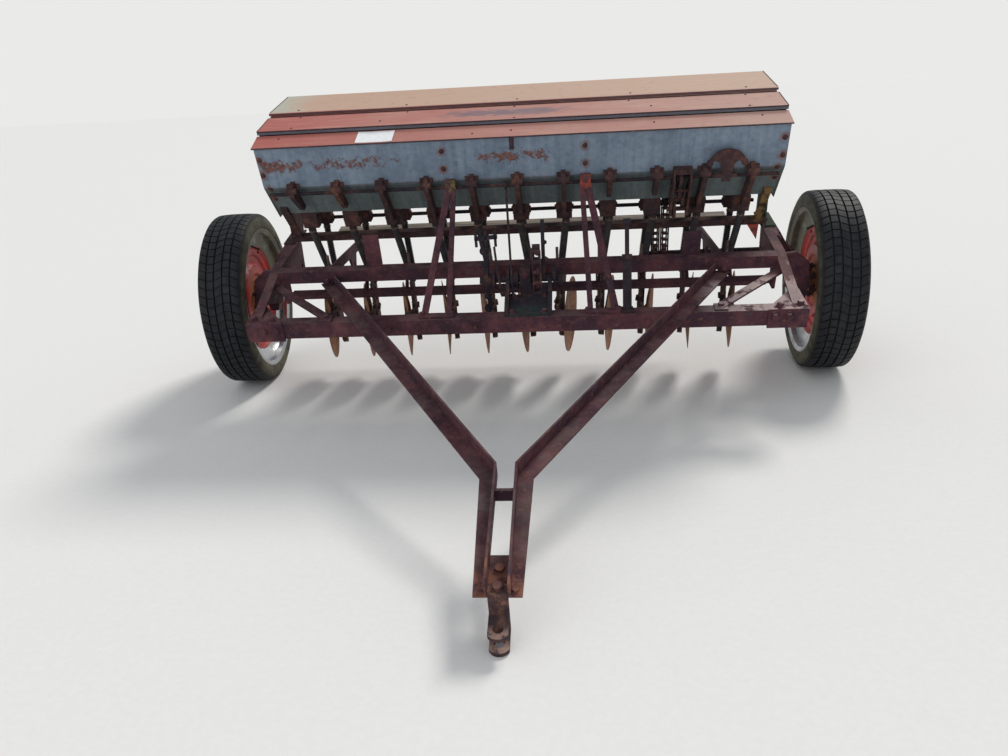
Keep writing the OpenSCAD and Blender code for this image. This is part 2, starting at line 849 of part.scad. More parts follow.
// Power lift on the front bar: base and cheeks, cross shaft with its arms, punched rack, housing, hand lever
module lift_gear() {
  base_z = frame_top + 9;
  lever_x = 405;
  color(iron) parked() {
    block(-40, 108, front_y + 8, front_y + 170, frame_top, base_z);
    for (x = [-56, 108])
      across(x, x + 16)
        polygon([[front_y + 8, frame_top], [front_y + 170, frame_top], gear_at + [18, -10],
            gear_at + [12, 16],
          gear_at + [-16, 16], [front_y + 70, base_z + 30], [front_y + 8, base_z + 8]]);
    round_x(-160, 168, gear_at, gear_r);
    across(-140, -124)
      polygon([gear_at + [28, -130], gear_at + [48, -130], gear_at + [26, -10], gear_at + [80, 130],
        gear_at + [50, 138], gear_at + [-22, 20], gear_at + [-18, -20]]);
    round_x(-150, -114, gear_at, 24);
    difference() {
      block(52, 82, gear_at[0] - 20, gear_at[0] - 8, 552, 806);
      for (i = [0:4])
        block(60, 74, gear_at[0] - 21, gear_at[0] - 7, 568 + 46 * i, 588 + 46 * i);
    }
    block(0, 40, gear_at[0] - 32, gear_at[0] + 28, 566, 704);
    round_x(144, 168, gear_at, 26);
    across(86, 100) flat_yz(gear_at, [-400, 886], 22);
    rod([-29, front_y + 140, base_z - 1], [-47, feed_at[0], feed_at[1] - 10], 4.5);
    difference() {
      round_x(-53, -41, feed_at, 14);
      round_x(-54, -40, feed_at, feed_r + fit);
    }
    block(lever_x - 22, lever_x + 22, front_y + 8, front_y + 46, frame_top, base_z);
    across(lever_x - 16, lever_x + 16) flat_yz([front_y + 28, base_z - 2], [-545, 790], 12);
    round_x(lever_x - 18, lever_x + 18, [-545, 786], 13);
    rod([lever_x, -545, 786], [lever_x, -502, 905], 8);
    rod([lever_x, -503, 902], [lever_x, -498, 918], 14);
  }
}

// Bracket and gears that take the drive to the front feed shaft
module drive_gear() {
  x0 = row_gap * 3.34;
  x1 = row_gap * 3.74;
  low_at = b_crease + [44, -172];
  stop = b_crease + panel_down * 105;
  color(iron) parked() {
    difference() {
      union() {
        for (x = [x0, x1 - 8])
          across(x, x + 8)
            polygon([b_crease, b_crease + panel_up * 16, b_crease + [-32, 12], b_crease + [-38, -40],
              low_at + [-34, 30], low_at + [-24, -22], low_at + [14, -22], low_at + [20, 10], stop]);
        across(x0, x1)
          polygon([b_crease, b_crease + panel_up * 16, b_crease + [-32, 12], b_crease + [-34, -8],
            b_crease + [-14, -6]]);
      }
      round_x(x0 - 5, x1 + 5, feed_at, feed_r + fit);
    }
    round_x(x0 - 10, x1 + 10, low_at, 9);
    round_x(x0 + 12, x0 + 22, low_at, 34);
    for (a = [0:11])
      translate([x0 + 12, low_at[0], low_at[1]])
        rotate([a * 30, 0, 0])
          translate([0, -5, 30]) cube([10, 10, 11]);
  }
}

// Arc length along the chain's loop around two equal wheels, turned into a place and a heading
chain_span = norm(rear_feed - jack_at);
chain_len = 2 * chain_span + 2 * PI * chain_r;
chain_turn = atan2(rear_feed[1] - jack_at[1], rear_feed[0] - jack_at[0]);

function chain_spot(s) =
  let (bend = PI * chain_r, u = s % chain_len)
  u < chain_span ? [u, -chain_r, 0] :
  u < chain_span + bend ?
    let (a = (u - chain_span) / chain_r * 180 / PI) [chain_span + chain_r * sin(a), -chain_r * cos(a), a] :
  u < 2 * chain_span + bend ? [2 * chain_span + bend - u, chain_r, 180] :
  let (a = 180 + (u - 2 * chain_span - bend) / chain_r * 180 / PI) [chain_r * sin(a), -chain_r * cos(a), a];

// Outline of a belt of a given radius around both wheels
module around_wheels(r) {
  circle(r = r);
  translate([chain_span, 0]) circle(r = r);
  translate([0, -r]) square([chain_span, 2 * r]);
}

// Ladder chain: two side loops joined by a bar at each link
module drive_chain() {
  pitch = chain_len / chain_links;
  color(iron) parked()
    for (x = strand_x)
      translate([x, jack_at[0], jack_at[1]])
        rotate([chain_turn, 0, 0]) {
          for (side = [-1, 1])
            across(side * 12 - 3, side * 12 + 3)
              difference() {
                around_wheels(chain_r + chain_t / 2);
                around_wheels(chain_r - chain_t / 2);
              }
          for (i = [0:chain_links - 1])
            let (p = chain_spot(i * pitch))
              translate([0, p[0], p[1]])
                rotate([p[2], 0, 0]) cube([20, 8, chain_t - 1], center = true);
        }
}

module footboard() {
  color([0.4, 0.33, 0.26]) parked()
    block(-box_half + 62, box_half - 62, board_y, board_y + board_w, board_z, board_z + board_t);
}

module foot_arms() {
  color(rust) parked()
    both_sides()
      difference() {
        across(row_gap * 4.5 - 5, row_gap * 4.5 + 5) {
          polygon([[rear_y + bar_t, rear_top - 42], [rear_y + bar_t, rear_top - bar_t],
            [rear_back, rear_top - bar_t], [board_y, board_z + board_t - 5], [board_y, board_z],
            [board_y + board_w - 5, board_z], [board_y + board_w - 5, board_z - 16], [board_y - 12,
                board_z - 16]]);
          polygon([[jack_at[0] - 60, jack_at[1] + 60], [jack_at[0] + 60, jack_at[1] + 40],
            jack_at + [22, -22], jack_at - [22, 22]]);
        }
        round_x(row_gap * 4.5 - 10, row_gap * 4.5 + 10, jack_at, jack_r + fit);
      }
}

front_bar();
rear_bar();
side_frames();
opener_pivot();
tongue_bars();
tongue_plates();
hitch_clevis();
spindles();
tyre_left();
rim_left();
wheel_disc_left();
hub_left();
tyre_right();
rim_right();
wheel_disc_right();
hub_right();
box_front();
box_floor();
box_back();
box_ends();
top_strip();
middle_lid();
rear_lid();
box_stands();
box_braces();
hanger_brackets();
feed_shaft();
feed_cups();
seed_tubes();
rate_quadrant();
lift_shaft();
openers();
pressure_rods();
springs();
lift_gear();
drive_gear();
drive_chain();
footboard();
foot_arms();
disc_1();
disc_2();
disc_3();
disc_4();
disc_5();
disc_6();
disc_7();
disc_8();
disc_9();
disc_10();
disc_11();
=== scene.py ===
"""An old pull-type seed drill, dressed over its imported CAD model.

Metres. X runs across the drill, -Y is the pulling direction, +Z is up.
"""
import json
import math

import bmesh
import bpy
from mathutils import Matrix, Vector


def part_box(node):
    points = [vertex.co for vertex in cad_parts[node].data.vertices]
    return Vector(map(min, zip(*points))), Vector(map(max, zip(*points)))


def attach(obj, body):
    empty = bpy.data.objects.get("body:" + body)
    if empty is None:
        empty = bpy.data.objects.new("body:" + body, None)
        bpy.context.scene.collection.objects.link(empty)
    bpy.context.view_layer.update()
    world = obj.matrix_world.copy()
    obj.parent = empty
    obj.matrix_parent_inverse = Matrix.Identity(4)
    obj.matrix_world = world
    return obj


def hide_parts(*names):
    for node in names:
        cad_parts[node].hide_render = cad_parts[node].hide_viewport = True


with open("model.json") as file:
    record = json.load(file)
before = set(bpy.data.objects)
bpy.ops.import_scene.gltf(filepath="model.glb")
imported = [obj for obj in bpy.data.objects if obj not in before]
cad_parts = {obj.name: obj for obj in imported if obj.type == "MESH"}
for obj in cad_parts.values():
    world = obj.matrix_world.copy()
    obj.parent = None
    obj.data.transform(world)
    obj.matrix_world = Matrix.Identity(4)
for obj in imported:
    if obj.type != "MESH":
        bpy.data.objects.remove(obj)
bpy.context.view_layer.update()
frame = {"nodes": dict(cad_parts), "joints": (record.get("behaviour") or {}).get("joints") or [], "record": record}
nodes = frame["nodes"]
joints = {j["name"]: j for j in frame["joints"]}
right_spin, lift_pivot = joints["wheel_right_spin"], joints["openers_lift"]
hub_at = Vector(right_spin["pos_m"])
wheel_y, axle_z = hub_at.y, hub_at.z
toe = math.atan2(-right_spin["axis"][1], right_spin["axis"][0])

# The drill is laid out level, in millimetres, and leans nose down about its axle line.
# The openers' pivot rod, (y, z) when level, gives the lean.
PIVOT, AXLE_HIGH = (-605, 556), 390
level_angle = math.atan2(PIVOT[1] - AXLE_HIGH, PIVOT[0])
lean = math.atan2(lift_pivot["pos_m"][2] - axle_z, lift_pivot["pos_m"][1] - wheel_y) - level_angle
lean = (lean + math.pi) % (2 * math.pi) - math.pi
AXLE = Vector((0, wheel_y, axle_z))
LEVEL = Matrix.Translation(AXLE) @ Matrix.Rotation(lean, 4, "X") @ Matrix.Translation((0, 0, -axle_z))
MM, SHARP = 0.001, math.radians(38)
ROWS = [joints["disc_%d_spin" % k]["pos_m"][0] * 1000 for k in range(1, 12)]
BOX_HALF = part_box("box_ends")[1].x * 1000
DISC_AT, LIFT_AT, FRAME_TOP = (-88, 305), (-430, 655), 600
FRONT, UP, RIGHT = (0, -1, 0), (0, 0, 1), (1, 0, 0)


def side_of(x):
    """Which way a row's disc and boot turn: the rows right of the middle turn the other way."""
    return -1 if x > 1 else 1


def wheel_place(side):
    """A wheel's own place: x outward along its axle."""
    toed = Matrix.Rotation(-side * toe, 4, "Z") @ Matrix.Diagonal((side, 1, 1, 1))
    return Matrix.Translation((side * hub_at.x, wheel_y, axle_z)) @ toed


# Shader tools
class Value:
    """A number that varies over a surface; arithmetic on it adds Math nodes."""

    def __init__(self, finish, socket):
        self.finish, self.socket = finish, socket

    def _math(self, operation, first, second=None, clamp=False):
        node = self.finish.tree.nodes.new("ShaderNodeMath")
        node.operation, node.use_clamp = operation, clamp
        for slot, value in zip(node.inputs, (first, second)):
            if value is not None:
                self.finish.feed(slot, value)
        return Value(self.finish, node.outputs[0])

    def __add__(self, other):
        return self._math("ADD", self, other)

    def __sub__(self, other):
        return self._math("SUBTRACT", self, other)

    def __mul__(self, other):
        return self._math("MULTIPLY", self, other)

    def __rsub__(self, other):
        return self._math("SUBTRACT", other, self)

    __radd__, __rmul__ = __add__, __mul__

    def __pow__(self, other):
        return self._math("POWER", self, other)

    def size(self):
        return self._math("ABSOLUTE", self)

    def most(self, other):
        return self._math("MAXIMUM", self, other)

    def waves(self, pace):
        return self._math("SINE", self * pace)

    def clipped(self):
        return self._math("ADD", self, 0, clamp=True)

    def step(self, low, high):
        """Goes from 0 at low to 1 at high, held outside them; low may be the larger."""
        return self._math("MULTIPLY", self - low, 1 / (high - low), clamp=True)

    def band(self, low, high, soft):
        return self.step(low - soft, low + soft) * self.step(high + soft, high - soft)


class Finish:
    """A material built from its shader's settings and its nodes."""

    def __init__(self, name, **settings):
        self.material = bpy.data.materials.new(name)
        self.material.use_nodes = True
        self.tree = self.material.node_tree
        self.shader = self.tree.nodes["Principled BSDF"]
        for socket, value in settings.items():
            self.shader.inputs[socket.replace("_", " ")].default_value = value
        self.coords = self.node("ShaderNodeTexCoord").outputs
        self.place = self.placed(self.coords["Object"], LEVEL.inverted())
        self.colour = None

    def placed(self, vector, matrix):
        """The place moved by a matrix, such as into the level drill or a wheel."""
        node = self.node("ShaderNodeMapping", Vector=vector, Location=matrix.to_translation(),
                         Rotation=matrix.to_euler())
        return Value(self, node.outputs[0])

    def on_wheel(self):
        """Takes places from a wheel's own middle, x outward along the axle, the same on both sides."""
        mirrored = self.node("ShaderNodeVectorMath", {"operation": "ABSOLUTE"}, Vector=self.coords["Object"])
        self.place = self.placed(mirrored.outputs[0], wheel_place(1).inverted())
        across, y, z = self.axes()
        return across, (y * y + z * z) ** 0.5, y._math("ARCTAN2", z, y)

    def from_point(self, point):
        """Distance from a point of the level drill, in metres."""
        node = self.node("ShaderNodeVectorMath", {"operation": "DISTANCE"}, Vector=self.place)
        self.feed(node.inputs[1], point)
        return Value(self, node.outputs["Value"])

    def feed(self, socket, value):
        if isinstance(value, Value):
            self.tree.links.new(value.socket, socket)
        elif isinstance(value, bpy.types.NodeSocket):
            self.tree.links.new(value, socket)
        elif hasattr(socket.default_value, "__len__") and len(socket.default_value) == 4:
            socket.default_value = (*value[:3], 1)
        else:
            socket.default_value = value

    def node(self, kind, settings=(), **sockets):
        node = self.tree.nodes.new(kind)
        for name, value in dict(settings).items():
            setattr(node, name, value)
        for name, value in sockets.items():
            name = name.replace("_", " ")
            found = [s for s in node.inputs if s.name == name and s.enabled]
            self.feed(found[0], value)
        return node

    def stretched(self, sizes, offset=(0, 0, 0)):
        node = self.node("ShaderNodeMapping", Vector=self.place, Scale=sizes, Location=offset)
        return Value(self, node.outputs[0])

    def noise(self, scale, detail=3, rough=0.55, at=None, swirl=0):
        node = self.node("ShaderNodeTexNoise", Vector=at or self.place, Scale=scale, Detail=detail,
                         Roughness=rough, Distortion=swirl)
        return Value(self, node.outputs["Fac"])

    def cells(self, scale, at=None, feature="F1", output="Distance"):
        node = self.node("ShaderNodeTexVoronoi", {"feature": feature}, Vector=at or self.place, Scale=scale)
        return Value(self, node.outputs[output])

    def axis(self, letter):
        return Value(self, self.node("ShaderNodeSeparateXYZ", Vector=self.place).outputs[letter])

    def axes(self):
        return [self.axis(letter) for letter in "XYZ"]

    def facing(self, letter):
        """How far the surface faces along an axis, in the piece's own frame."""
        return Value(self, self.node("ShaderNodeSeparateXYZ", Vector=self.coords["Normal"]).outputs[letter])

    def mix(self, factor, first, second):
        node = self.tree.nodes.new("ShaderNodeMix")
        node.data_type = "RGBA"
        self.feed(node.inputs[0], factor)
        self.feed(node.inputs[6], first)
        self.feed(node.inputs[7], second)
        return Value(self, node.outputs[2])

    def tones(self, factor, *stops):
        """A colour from a ramp of (place, colour) stops."""
        node = self.tree.nodes.new("ShaderNodeValToRGB")
        ramp = node.color_ramp
        while len(ramp.elements) < len(stops):
            ramp.elements.new(0.5)
        for element, (at, colour) in zip(ramp.elements, stops):
            element.position, element.color = at, (*colour, 1)
        self.feed(node.inputs[0], factor)
        return Value(self, node.outputs[0])

    def coat(self, amount, over):
        """Lays another colour over the one that is there."""
        self.colour = self.mix(amount, self.colour, over)

    def finish(self, rough=None, bump=None, depth=0.002, metal=None, gloss=0.5):
        self.feed(self.shader.inputs["Base Color"], self.colour)
        self.shader.inputs["Specular IOR Level"].default_value = gloss
        if rough is not None:
            self.feed(self.shader.inputs["Roughness"], rough)
        if metal is not None:
            self.feed(self.shader.inputs["Metallic"], metal)
        if bump is not None:
            node = self.node("ShaderNodeBump", Height=bump, Distance=depth)
            self.feed(self.shader.inputs["Normal"], node.outputs[0])
        return self.material


# Camera, light, floor
def look_from_photo():
    """The photograph's camera: a wide lens a little above the box, looking down the tongue."""
    yaw, pitch, roll = math.radians(-5.09), math.radians(20.74), math.radians(-3.13)
    ahead = Vector((math.sin(yaw) * math.cos(pitch), math.cos(yaw) * math.cos(pitch), -math.sin(pitch)))
    right = Vector((math.cos(yaw), -math.sin(yaw), 0))
    up = right.cross(ahead)
    right, up = (right * math.cos(roll) + up * math.sin(roll), up * math.cos(roll) - right * math.sin(roll))
    lens = bpy.data.cameras.new("photo_camera")
    film, picture, focal = 36, 1008, 778.3  # millimetres, then pixels
    lens.sensor_fit, lens.sensor_width, lens.lens = "HORIZONTAL", film, focal / picture * film
    lens.clip_start, lens.clip_end = 0.05, 100
    camera = bpy.data.objects.new("photo_camera", lens)
    aim = Matrix((right, up, -ahead)).transposed().to_4x4()
    camera.matrix_world = Matrix.Translation((0.181, wheel_y - 3.479, 1.279)) @ aim
    bpy.context.scene.collection.objects.link(camera)
    bpy.context.scene.camera = camera


def soft_sun(name, toward, strength, spread, colour):
    """A broad even light that falls along a direction."""
    light = bpy.data.lights.new(name, "SUN")
    light.energy, light.angle, light.color = strength, math.radians(spread), colour
    holder = bpy.data.objects.new(name, light)
    holder.rotation_euler = Vector(toward).to_track_quat("-Z", "Y").to_euler()
    bpy.context.scene.collection.objects.link(holder)


PALE = (0.823, 0.823, 0.807)


def studio():
    world = bpy.data.worlds.new("pale_room")
    world.use_nodes = True
    bpy.context.scene.world = world
    tree = world.node_tree
    back = tree.nodes["Background"]
    back.inputs[0].default_value = (0.93, 0.96, 1, 1)
    back.inputs[1].default_value = 0.55
    seen = tree.nodes.new("ShaderNodeBackground")
    seen.inputs[0].default_value = (*PALE, 1)
    seen.inputs[1].default_value = 1
    path = tree.nodes.new("ShaderNodeLightPath")
    mixer = tree.nodes.new("ShaderNodeMixShader")
    tree.links.new(path.outputs["Is Camera Ray"], mixer.inputs[0])
    tree.links.new(back.outputs[0], mixer.inputs[1])
    tree.links.new(seen.outputs[0], mixer.inputs[2])
    tree.links.new(mixer.outputs[0], tree.nodes["World Output"].inputs[0])
    soft_sun("key", (-0.92, -1.42, -1.9), 1.9, 16, (1, 0.97, 0.92))
    soft_sun("fill", (0.9, 1.5, -0.9), 0.75, 70, (0.93, 0.96, 1))
    bpy.context.scene.view_settings.view_transform = "Standard"


def lay_floor():
    mesh = bpy.data.meshes.new("floor")
    far = 60
    mesh.from_pydata([(-far, -far, 0), (far, -far, 0), (far, far, 0), (-far, far, 0)], [], [(0, 1, 2, 3)])
    floor = bpy.data.objects.new("floor", mesh)
    bpy.context.scene.collection.objects.link(floor)
    pale = Finish("pale_floor", Roughness=0.95)
    pale.colour = pale.mix(pale.noise(60, 2), (0.72, 0.715, 0.7), (0.78, 0.775, 0.76))
    mesh.materials.append(pale.finish())


# Mesh tools
class Shape:
    """Faces gathered in millimetres, on the level drill or in a wheel's own place."""

    def __init__(self):
        self.points, self.faces = [], []

    def add(self, points, faces, place=None):
        start = len(self.points)
        self.points += [place @ Vector(p) if place else Vector(p) for p in points]
        self.faces += [[start + i for i in face] for face in faces]

    def rings(self, rings, place=None, loop=False, caps=True):
        """Skins a row of equal rings of points."""
        count, size = len(rings), len(rings[0])
        faces = []
        for i in range(count if loop else count - 1):
            for j in range(size):
                a, b = i * size + j, i * size + (j + 1) % size
                step = ((i + 1) % count - i) * size
                faces.append((a, b, b + step, a + step))
        if caps and not loop:
            faces += [tuple(range(size))[::-1], tuple((count - 1) * size + j for j in range(size))]
        self.add([p for ring in rings for p in ring], faces, place)

    def lathe(self, profile, place=None, steps=24, caps=True):
        """Turns (radius, height) points about the place's Z axis."""
        rings = []
        for radius, height in profile:
            rings.append([(radius * math.cos(turn(k, steps)), radius * math.sin(turn(k, steps)), height)
                          for k in range(steps)])
        self.rings(rings, place, caps=caps)

    def boss(self, profile, at, outward, steps=24, caps=True):
        """A turned shape standing on a surface."""
        self.lathe(profile, facing_place(at, outward), steps, caps)

    def wire(self, path, radius, sides=8, loop=False):
        """A round bar swept along points; radius may be one number or one for each point."""
        radii = radius if isinstance(radius, list) else [radius] * len(path)
        path = [Vector(p) for p in path]
        rings, normal = [], None
        for i, point in enumerate(path):
            before = path[i - 1] if i or loop else point
            after = path[(i + 1) % len(path)] if i + 1 < len(path) or loop else point
            ahead = (after - before).normalized()
            if normal is None:
                normal = ahead.orthogonal().normalized()
            normal = (normal - ahead * normal.dot(ahead)).normalized()
            other = ahead.cross(normal)
            angles = [turn(k, sides) for k in range(sides)]
            rings.append([point + (normal * math.cos(a) + other * math.sin(a)) * radii[i] for a in angles])
        self.rings(rings, loop=loop)

    def hex_bolt(self, at, outward, flats=19, high=9, washer=True, spin=0.0):
        """A chamfered hexagon head on its washer."""
        place = facing_place(at, outward, spin)
        base = 0
        if washer:
            r = flats * 0.78
            self.lathe([(r, 0), (r, 1.6), (r - 0.8, 2.4)], place, 20)
            base = 2.4
        corner = flats / math.sqrt(3)
        rings = [(corner, base), (corner, base + high * 0.82), (corner * 0.86, base + high)]
        self.lathe(rings, place, 6)

    def round_head(self, at, outward, radius=9, high=5):
        """A carriage bolt's or rivet's low dome."""
        dome = [(radius * math.cos(a), high * math.sin(a)) for a in (0, 0.35, 0.75, 1.15, 1.45)]
        self.boss(dome, at, outward, 18)

    def slab(self, corners, outward, thick, bevel=0.0):
        """A flat plate: corners of its outer face in order, thickened inwards, edges rounded."""
        outward = Vector(outward).normalized()
        corners = [Vector(c) for c in corners]
        middle = sum(corners, Vector()) / len(corners)
        inset = [c + (middle - c).normalized() * bevel for c in corners]
        rings = [inset, [c - outward * bevel for c in corners], [c - outward * thick for c in corners]]
        self.rings(rings)

    def strip(self, start, end, width_dir, width, outward, thick, bevel=1.0):
        """A straight flat bar between two points."""
        start, end, half = Vector(start), Vector(end), Vector(width_dir).normalized() * width / 2
        self.slab([start - half, end - half, end + half, start + half], outward, thick, bevel)

    def made(self, name, body, slot, finish=None, place=None, stands_for=()):
        """Turns the faces into a piece that rides on a body, in its slot's finish unless one is named."""
        matrix = (place or LEVEL) @ Matrix.Scale(MM, 4)
        form = bmesh.new()
        corners = [form.verts.new(matrix @ p) for p in self.points]
        for face in self.faces:
            form.faces.new([corners[i] for i in face])
        bmesh.ops.remove_doubles(form, verts=form.verts, dist=1e-6)
        bmesh.ops.dissolve_degenerate(form, edges=form.edges, dist=1e-7)
        bmesh.ops.recalc_face_normals(form, faces=form.faces)
        for face in form.faces:
            face.smooth = True
        for edge in form.edges:
            edge.smooth = len(edge.link_faces) != 2 or edge.calc_face_angle(0) < SHARP
        mesh = bpy.data.meshes.new(name)
        form.to_mesh(mesh)
        form.free()
        mesh.materials.append(FINISH[finish or slot])
        piece = bpy.data.objects.new(name, mesh)
        bpy.context.scene.collection.objects.link(piece)
        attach(piece, body)
        if stands_for:
            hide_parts(*stands_for)


def turn(k, steps):
    return 2 * math.pi * k / steps


def facing_place(at, outward, spin=0.0):
    """A place whose Z axis points outward from a surface."""
    aim = Vector(outward).to_track_quat("Z", "Y").to_matrix().to_4x4()
    return Matrix.Translation(at) @ aim @ Matrix.Rotation(spin, 4, "Z")


# Wheels
def make_tyre(side, name, body):
    """Tyre with five ribs, sipes across them, and raised rings on its walls."""
    across = [-78, -82, -93, -97, -99, -99.5, -99, -97, -93.5, -90, -86, -82, -78,
              -54, -53, -48, -47, -21, -20, -15, -14, 14, 15, 20, 21, 47, 48, 53, 54,
              78, 82, 86, 90, 93.5, 97, 99, 99.5, 99, 97, 93, 82, 78]
    radius = [305, 313, 322, 329, 336, 344, 352, 360, 368, 376, 382, 385, 387,
              389, 381, 381, 389.5, 390, 382, 382, 390, 390, 382, 382, 390, 389.5, 381, 381, 389,
              387, 385, 382, 376, 368, 360, 352, 344, 336, 329, 322, 313, 305]
    pitches, parts = 66, (0.0, 0.03, 0.13, 0.16, 0.58)
    rings = []
    for k in range(pitches * len(parts)):
        share = parts[k % len(parts)]
        cut = k % len(parts) in (1, 2)
        ring = []
        for x, r in zip(across, radius):
            land = r > 384.5
            skew = 0.0 if not land else 0.3 * math.sin(x / 100 * math.pi * 1.5)
            off, depth = abs(x), 0.0
            if cut and land:
                depth = 6.0 if 54 <= off <= 87 else 4.0 if 20 < off < 48 else 3.0 if off < 15 else 0.0
            wall = 1.2 * max(0.0, 1 - abs(r - 333) / 4) + 1.0 * max(0.0, 1 - abs(r - 350) / 4)
            a = 2 * math.pi * (k // len(parts) + share + skew) / pitches
            bulge = 1 + wall / max(abs(x), 1) if 318 < r < 362 else 1
            ring.append((x * bulge, (r - depth) * math.cos(a), (r - depth) * math.sin(a)))
        rings.append(ring)
    shape = Shape()
    shape.rings(rings, loop=True)
    bare = "tyre_" + name.split("_")[-1]
    shape.made(name, body, "tyre_rubber", place=wheel_place(side), stands_for=[bare])


def make_wheel_trim(side, name, body):
    """Hub nuts and studs, dust cap, valve and the pressed ring's rivets."""
    iron, inward = Shape(), (-1, 0, 0)
    stud_circle, rivet_circle = 64, 224
    for k in range(6):
        a = turn(k, 6)
        at = Vector((-46, stud_circle * math.sin(a), stud_circle * math.cos(a)))
        iron.hex_bolt(at, inward, 21, 12, True, 0.3 * k)
        iron.boss([(6.5, 0), (6.5, 18), (5, 20)], at, inward, 12)
    iron.boss([(36, 0), (38, 3), (38, 10), (33, 13), (31, 13)], (-75, 0, 0), inward, 32)
    cap = [(33, 0), (33, 14), (30, 22), (22, 28), (10, 31), (2, 32)]
    iron.boss(cap, (85, 0, 0), RIGHT, 32)
    for k in range(6):
        a = turn(k + 0.5, 6)
        iron.round_head((-36.5, rivet_circle * math.sin(a), rivet_circle * math.cos(a)), inward, 8, 4)
    stem = [(-30, 0, 250), (-46, 0, 246), (-62, 0, 238), (-74, 0, 232)]
    iron.wire(stem, [6, 4.5, 4, 4.5], 10)
    iron.wire([(-74, 0, 232), (-84, 0, 227)], 5.5, 10)
    iron.made(name, body, "cast_iron", place=wheel_place(side))


# Openers, springs and tubes
def make_springs():
    """Coil springs around the pressure rods."""
    shape = Shape()
    foot, top = Vector((0, -150, 411.5)), Vector((0, -128, 650))
    ahead = (top - foot).normalized()
    flat = Vector(RIGHT)
    other = ahead.cross(flat)
    coils, around, first, run = 12, 14, 12, 86
    seat = [(6.2, -1.5), (10.8, -1.5), (11.3, -0.8), (11.3, 0.8), (10.8, 1.5), (6.2, 1.5)]
    for x in ROWS:
        middle = Vector((x + 35 * side_of(x), 0, 0))
        path = []
        for k in range(coils * around + 1):
            rise, a = first + run * (k / (coils * around)), turn(k, around)
            path.append(middle + foot + ahead * rise + (flat * math.cos(a) + other * math.sin(a)) * 8.3)
        shape.wire(path, 1.7, 6)
        for rise in (9.5, 100.5):
            shape.boss(seat, middle + foot + ahead * rise, ahead, 20, caps=False)
    shape.made("coil_springs", "openers", "bare_steel", stands_for=["springs"])


def make_tubes():
    """Ribbed rubber tubes from the cups down to the boots, each with a clip at its top."""
    tubes, clips, rib_pitch = Shape(), Shape(), 8.5
    runs = ((Vector((-8, -129, 787)), Vector((24, -56, 480))),
            (Vector((-8, 80, 722)), Vector((24, -14, 486))))
    for row, x in enumerate(ROWS):
        for k, (top, foot) in enumerate(runs):
            s = side_of(x)
            a = Vector((x + top.x * s, top.y, top.z - 3.5))
            b = Vector((x + foot.x * s, foot.y, foot.z))
            length = (b - a).length
            ribs = int(length / rib_pitch)
            sag = Vector(FRONT) * (2.5 + 1.5 * math.sin(row * 2.1 + k))
            path, radii = [], []
            for i in range(ribs):
                for share, radius in ((0.0, 12.4), (0.28, 12.4), (0.42, 15.0), (0.86, 15.0)):
                    t = (i + share) / ribs
                    path.append(a.lerp(b, t) + sag * math.sin(math.pi * t))
                    radii.append(radius)
            tubes.wire(path, radii, 14)
            ahead = (b - a).normalized()
            clips.boss([(15.2, 0), (16.2, 0.6), (16.2, 9.4), (15.2, 10)], a + ahead * 10, ahead, 20,
                       caps=False)
            clips.hex_bolt(a + ahead * 15 + Vector((0, -16, 0)), FRONT, 8, 5, False)
    tubes.made("ribbed_tubes", "frame", "tube_black", stands_for=["seed_tubes"])
    clips.made("tube_clips", "frame", "bare_steel")


def make_opener_trim():
    """Bolts, grease nipples and hub caps on the boots and drawbars."""
    shape = Shape()
    spin = math.radians(10)
    for x in ROWS:
        s = side_of(x)

        def at(px, py, pz, x=x, s=s):
            """A point of the boot, which is turned with its disc."""
            dy, c, n = py - DISC_AT[0], math.cos(spin), math.sin(spin)
            return Vector((x + s * (px * c - dy * n), DISC_AT[0] + px * n + dy * c, pz))

        out = Vector((s * math.cos(spin), math.sin(spin), 0))
        shape.hex_bolt(at(34.5, *DISC_AT), out, 24, 12)
        shape.hex_bolt(at(35, -138, 392), out, 15, 8)
        shape.hex_bolt(at(35, -108, 388), out, 15, 8)
        shape.round_head(at(35, -60, 430), out, 8, 4)
        shape.boss([(4, 0), (4, 5), (2.5, 6), (3.2, 9), (1.5, 11)], at(24, -100, 410), (0, -1, 0.3), 10)
        shape.boss([(19, 0), (19, 5), (15, 9), (6, 11)], at(-29.5, *DISC_AT), -out, 24)
        shape.hex_bolt((x + s * 43, -240, 424), (s, 0, 0), 14, 7)
        shape.hex_bolt((x + s * 50, *PIVOT), (s, 0, 0), 18, 3, False)
    shape.made("opener_bolts", "openers", "cast_iron")


# Box
# The front sheet runs from its top to a crease and from there back to its lower edge
CREASE, TOP, OUT = Vector((0, -256, 1007)), Vector((0, -270, 1170)), Vector((0, -159, 861))
PANEL_OUT = Vector((0, -0.9963, -0.0856))
LOWER_OUT = Vector((0, -0.833, -0.553))
PANEL_BOLTS = [(-283, -266, 1124), (-284, -260, 1054), (262, -266, 1122), (262, -260, 1052),
               (-999, -266, 1123), (-1001, -261, 1060), (-987, -252.5, 1002), (-991, -217, 948),
               (996, -266, 1116), (997, -260.5, 1049), (985, -252.5, 1002), (990, -217, 948)]
END_BOLTS = [(-215, 1150), (-60, 1150), (60, 1180), (200, 1190), (-200, 980), (-130, 900), (215, 1030),
             (150, 930)]


def on_panel(x, z):
    """A point on the box's front sheet at a height."""
    end = TOP if z >= CREASE.z else OUT
    return Vector((x, CREASE.y + (end.y - CREASE.y) * (z - CREASE.z) / (end.z - CREASE.z), z))


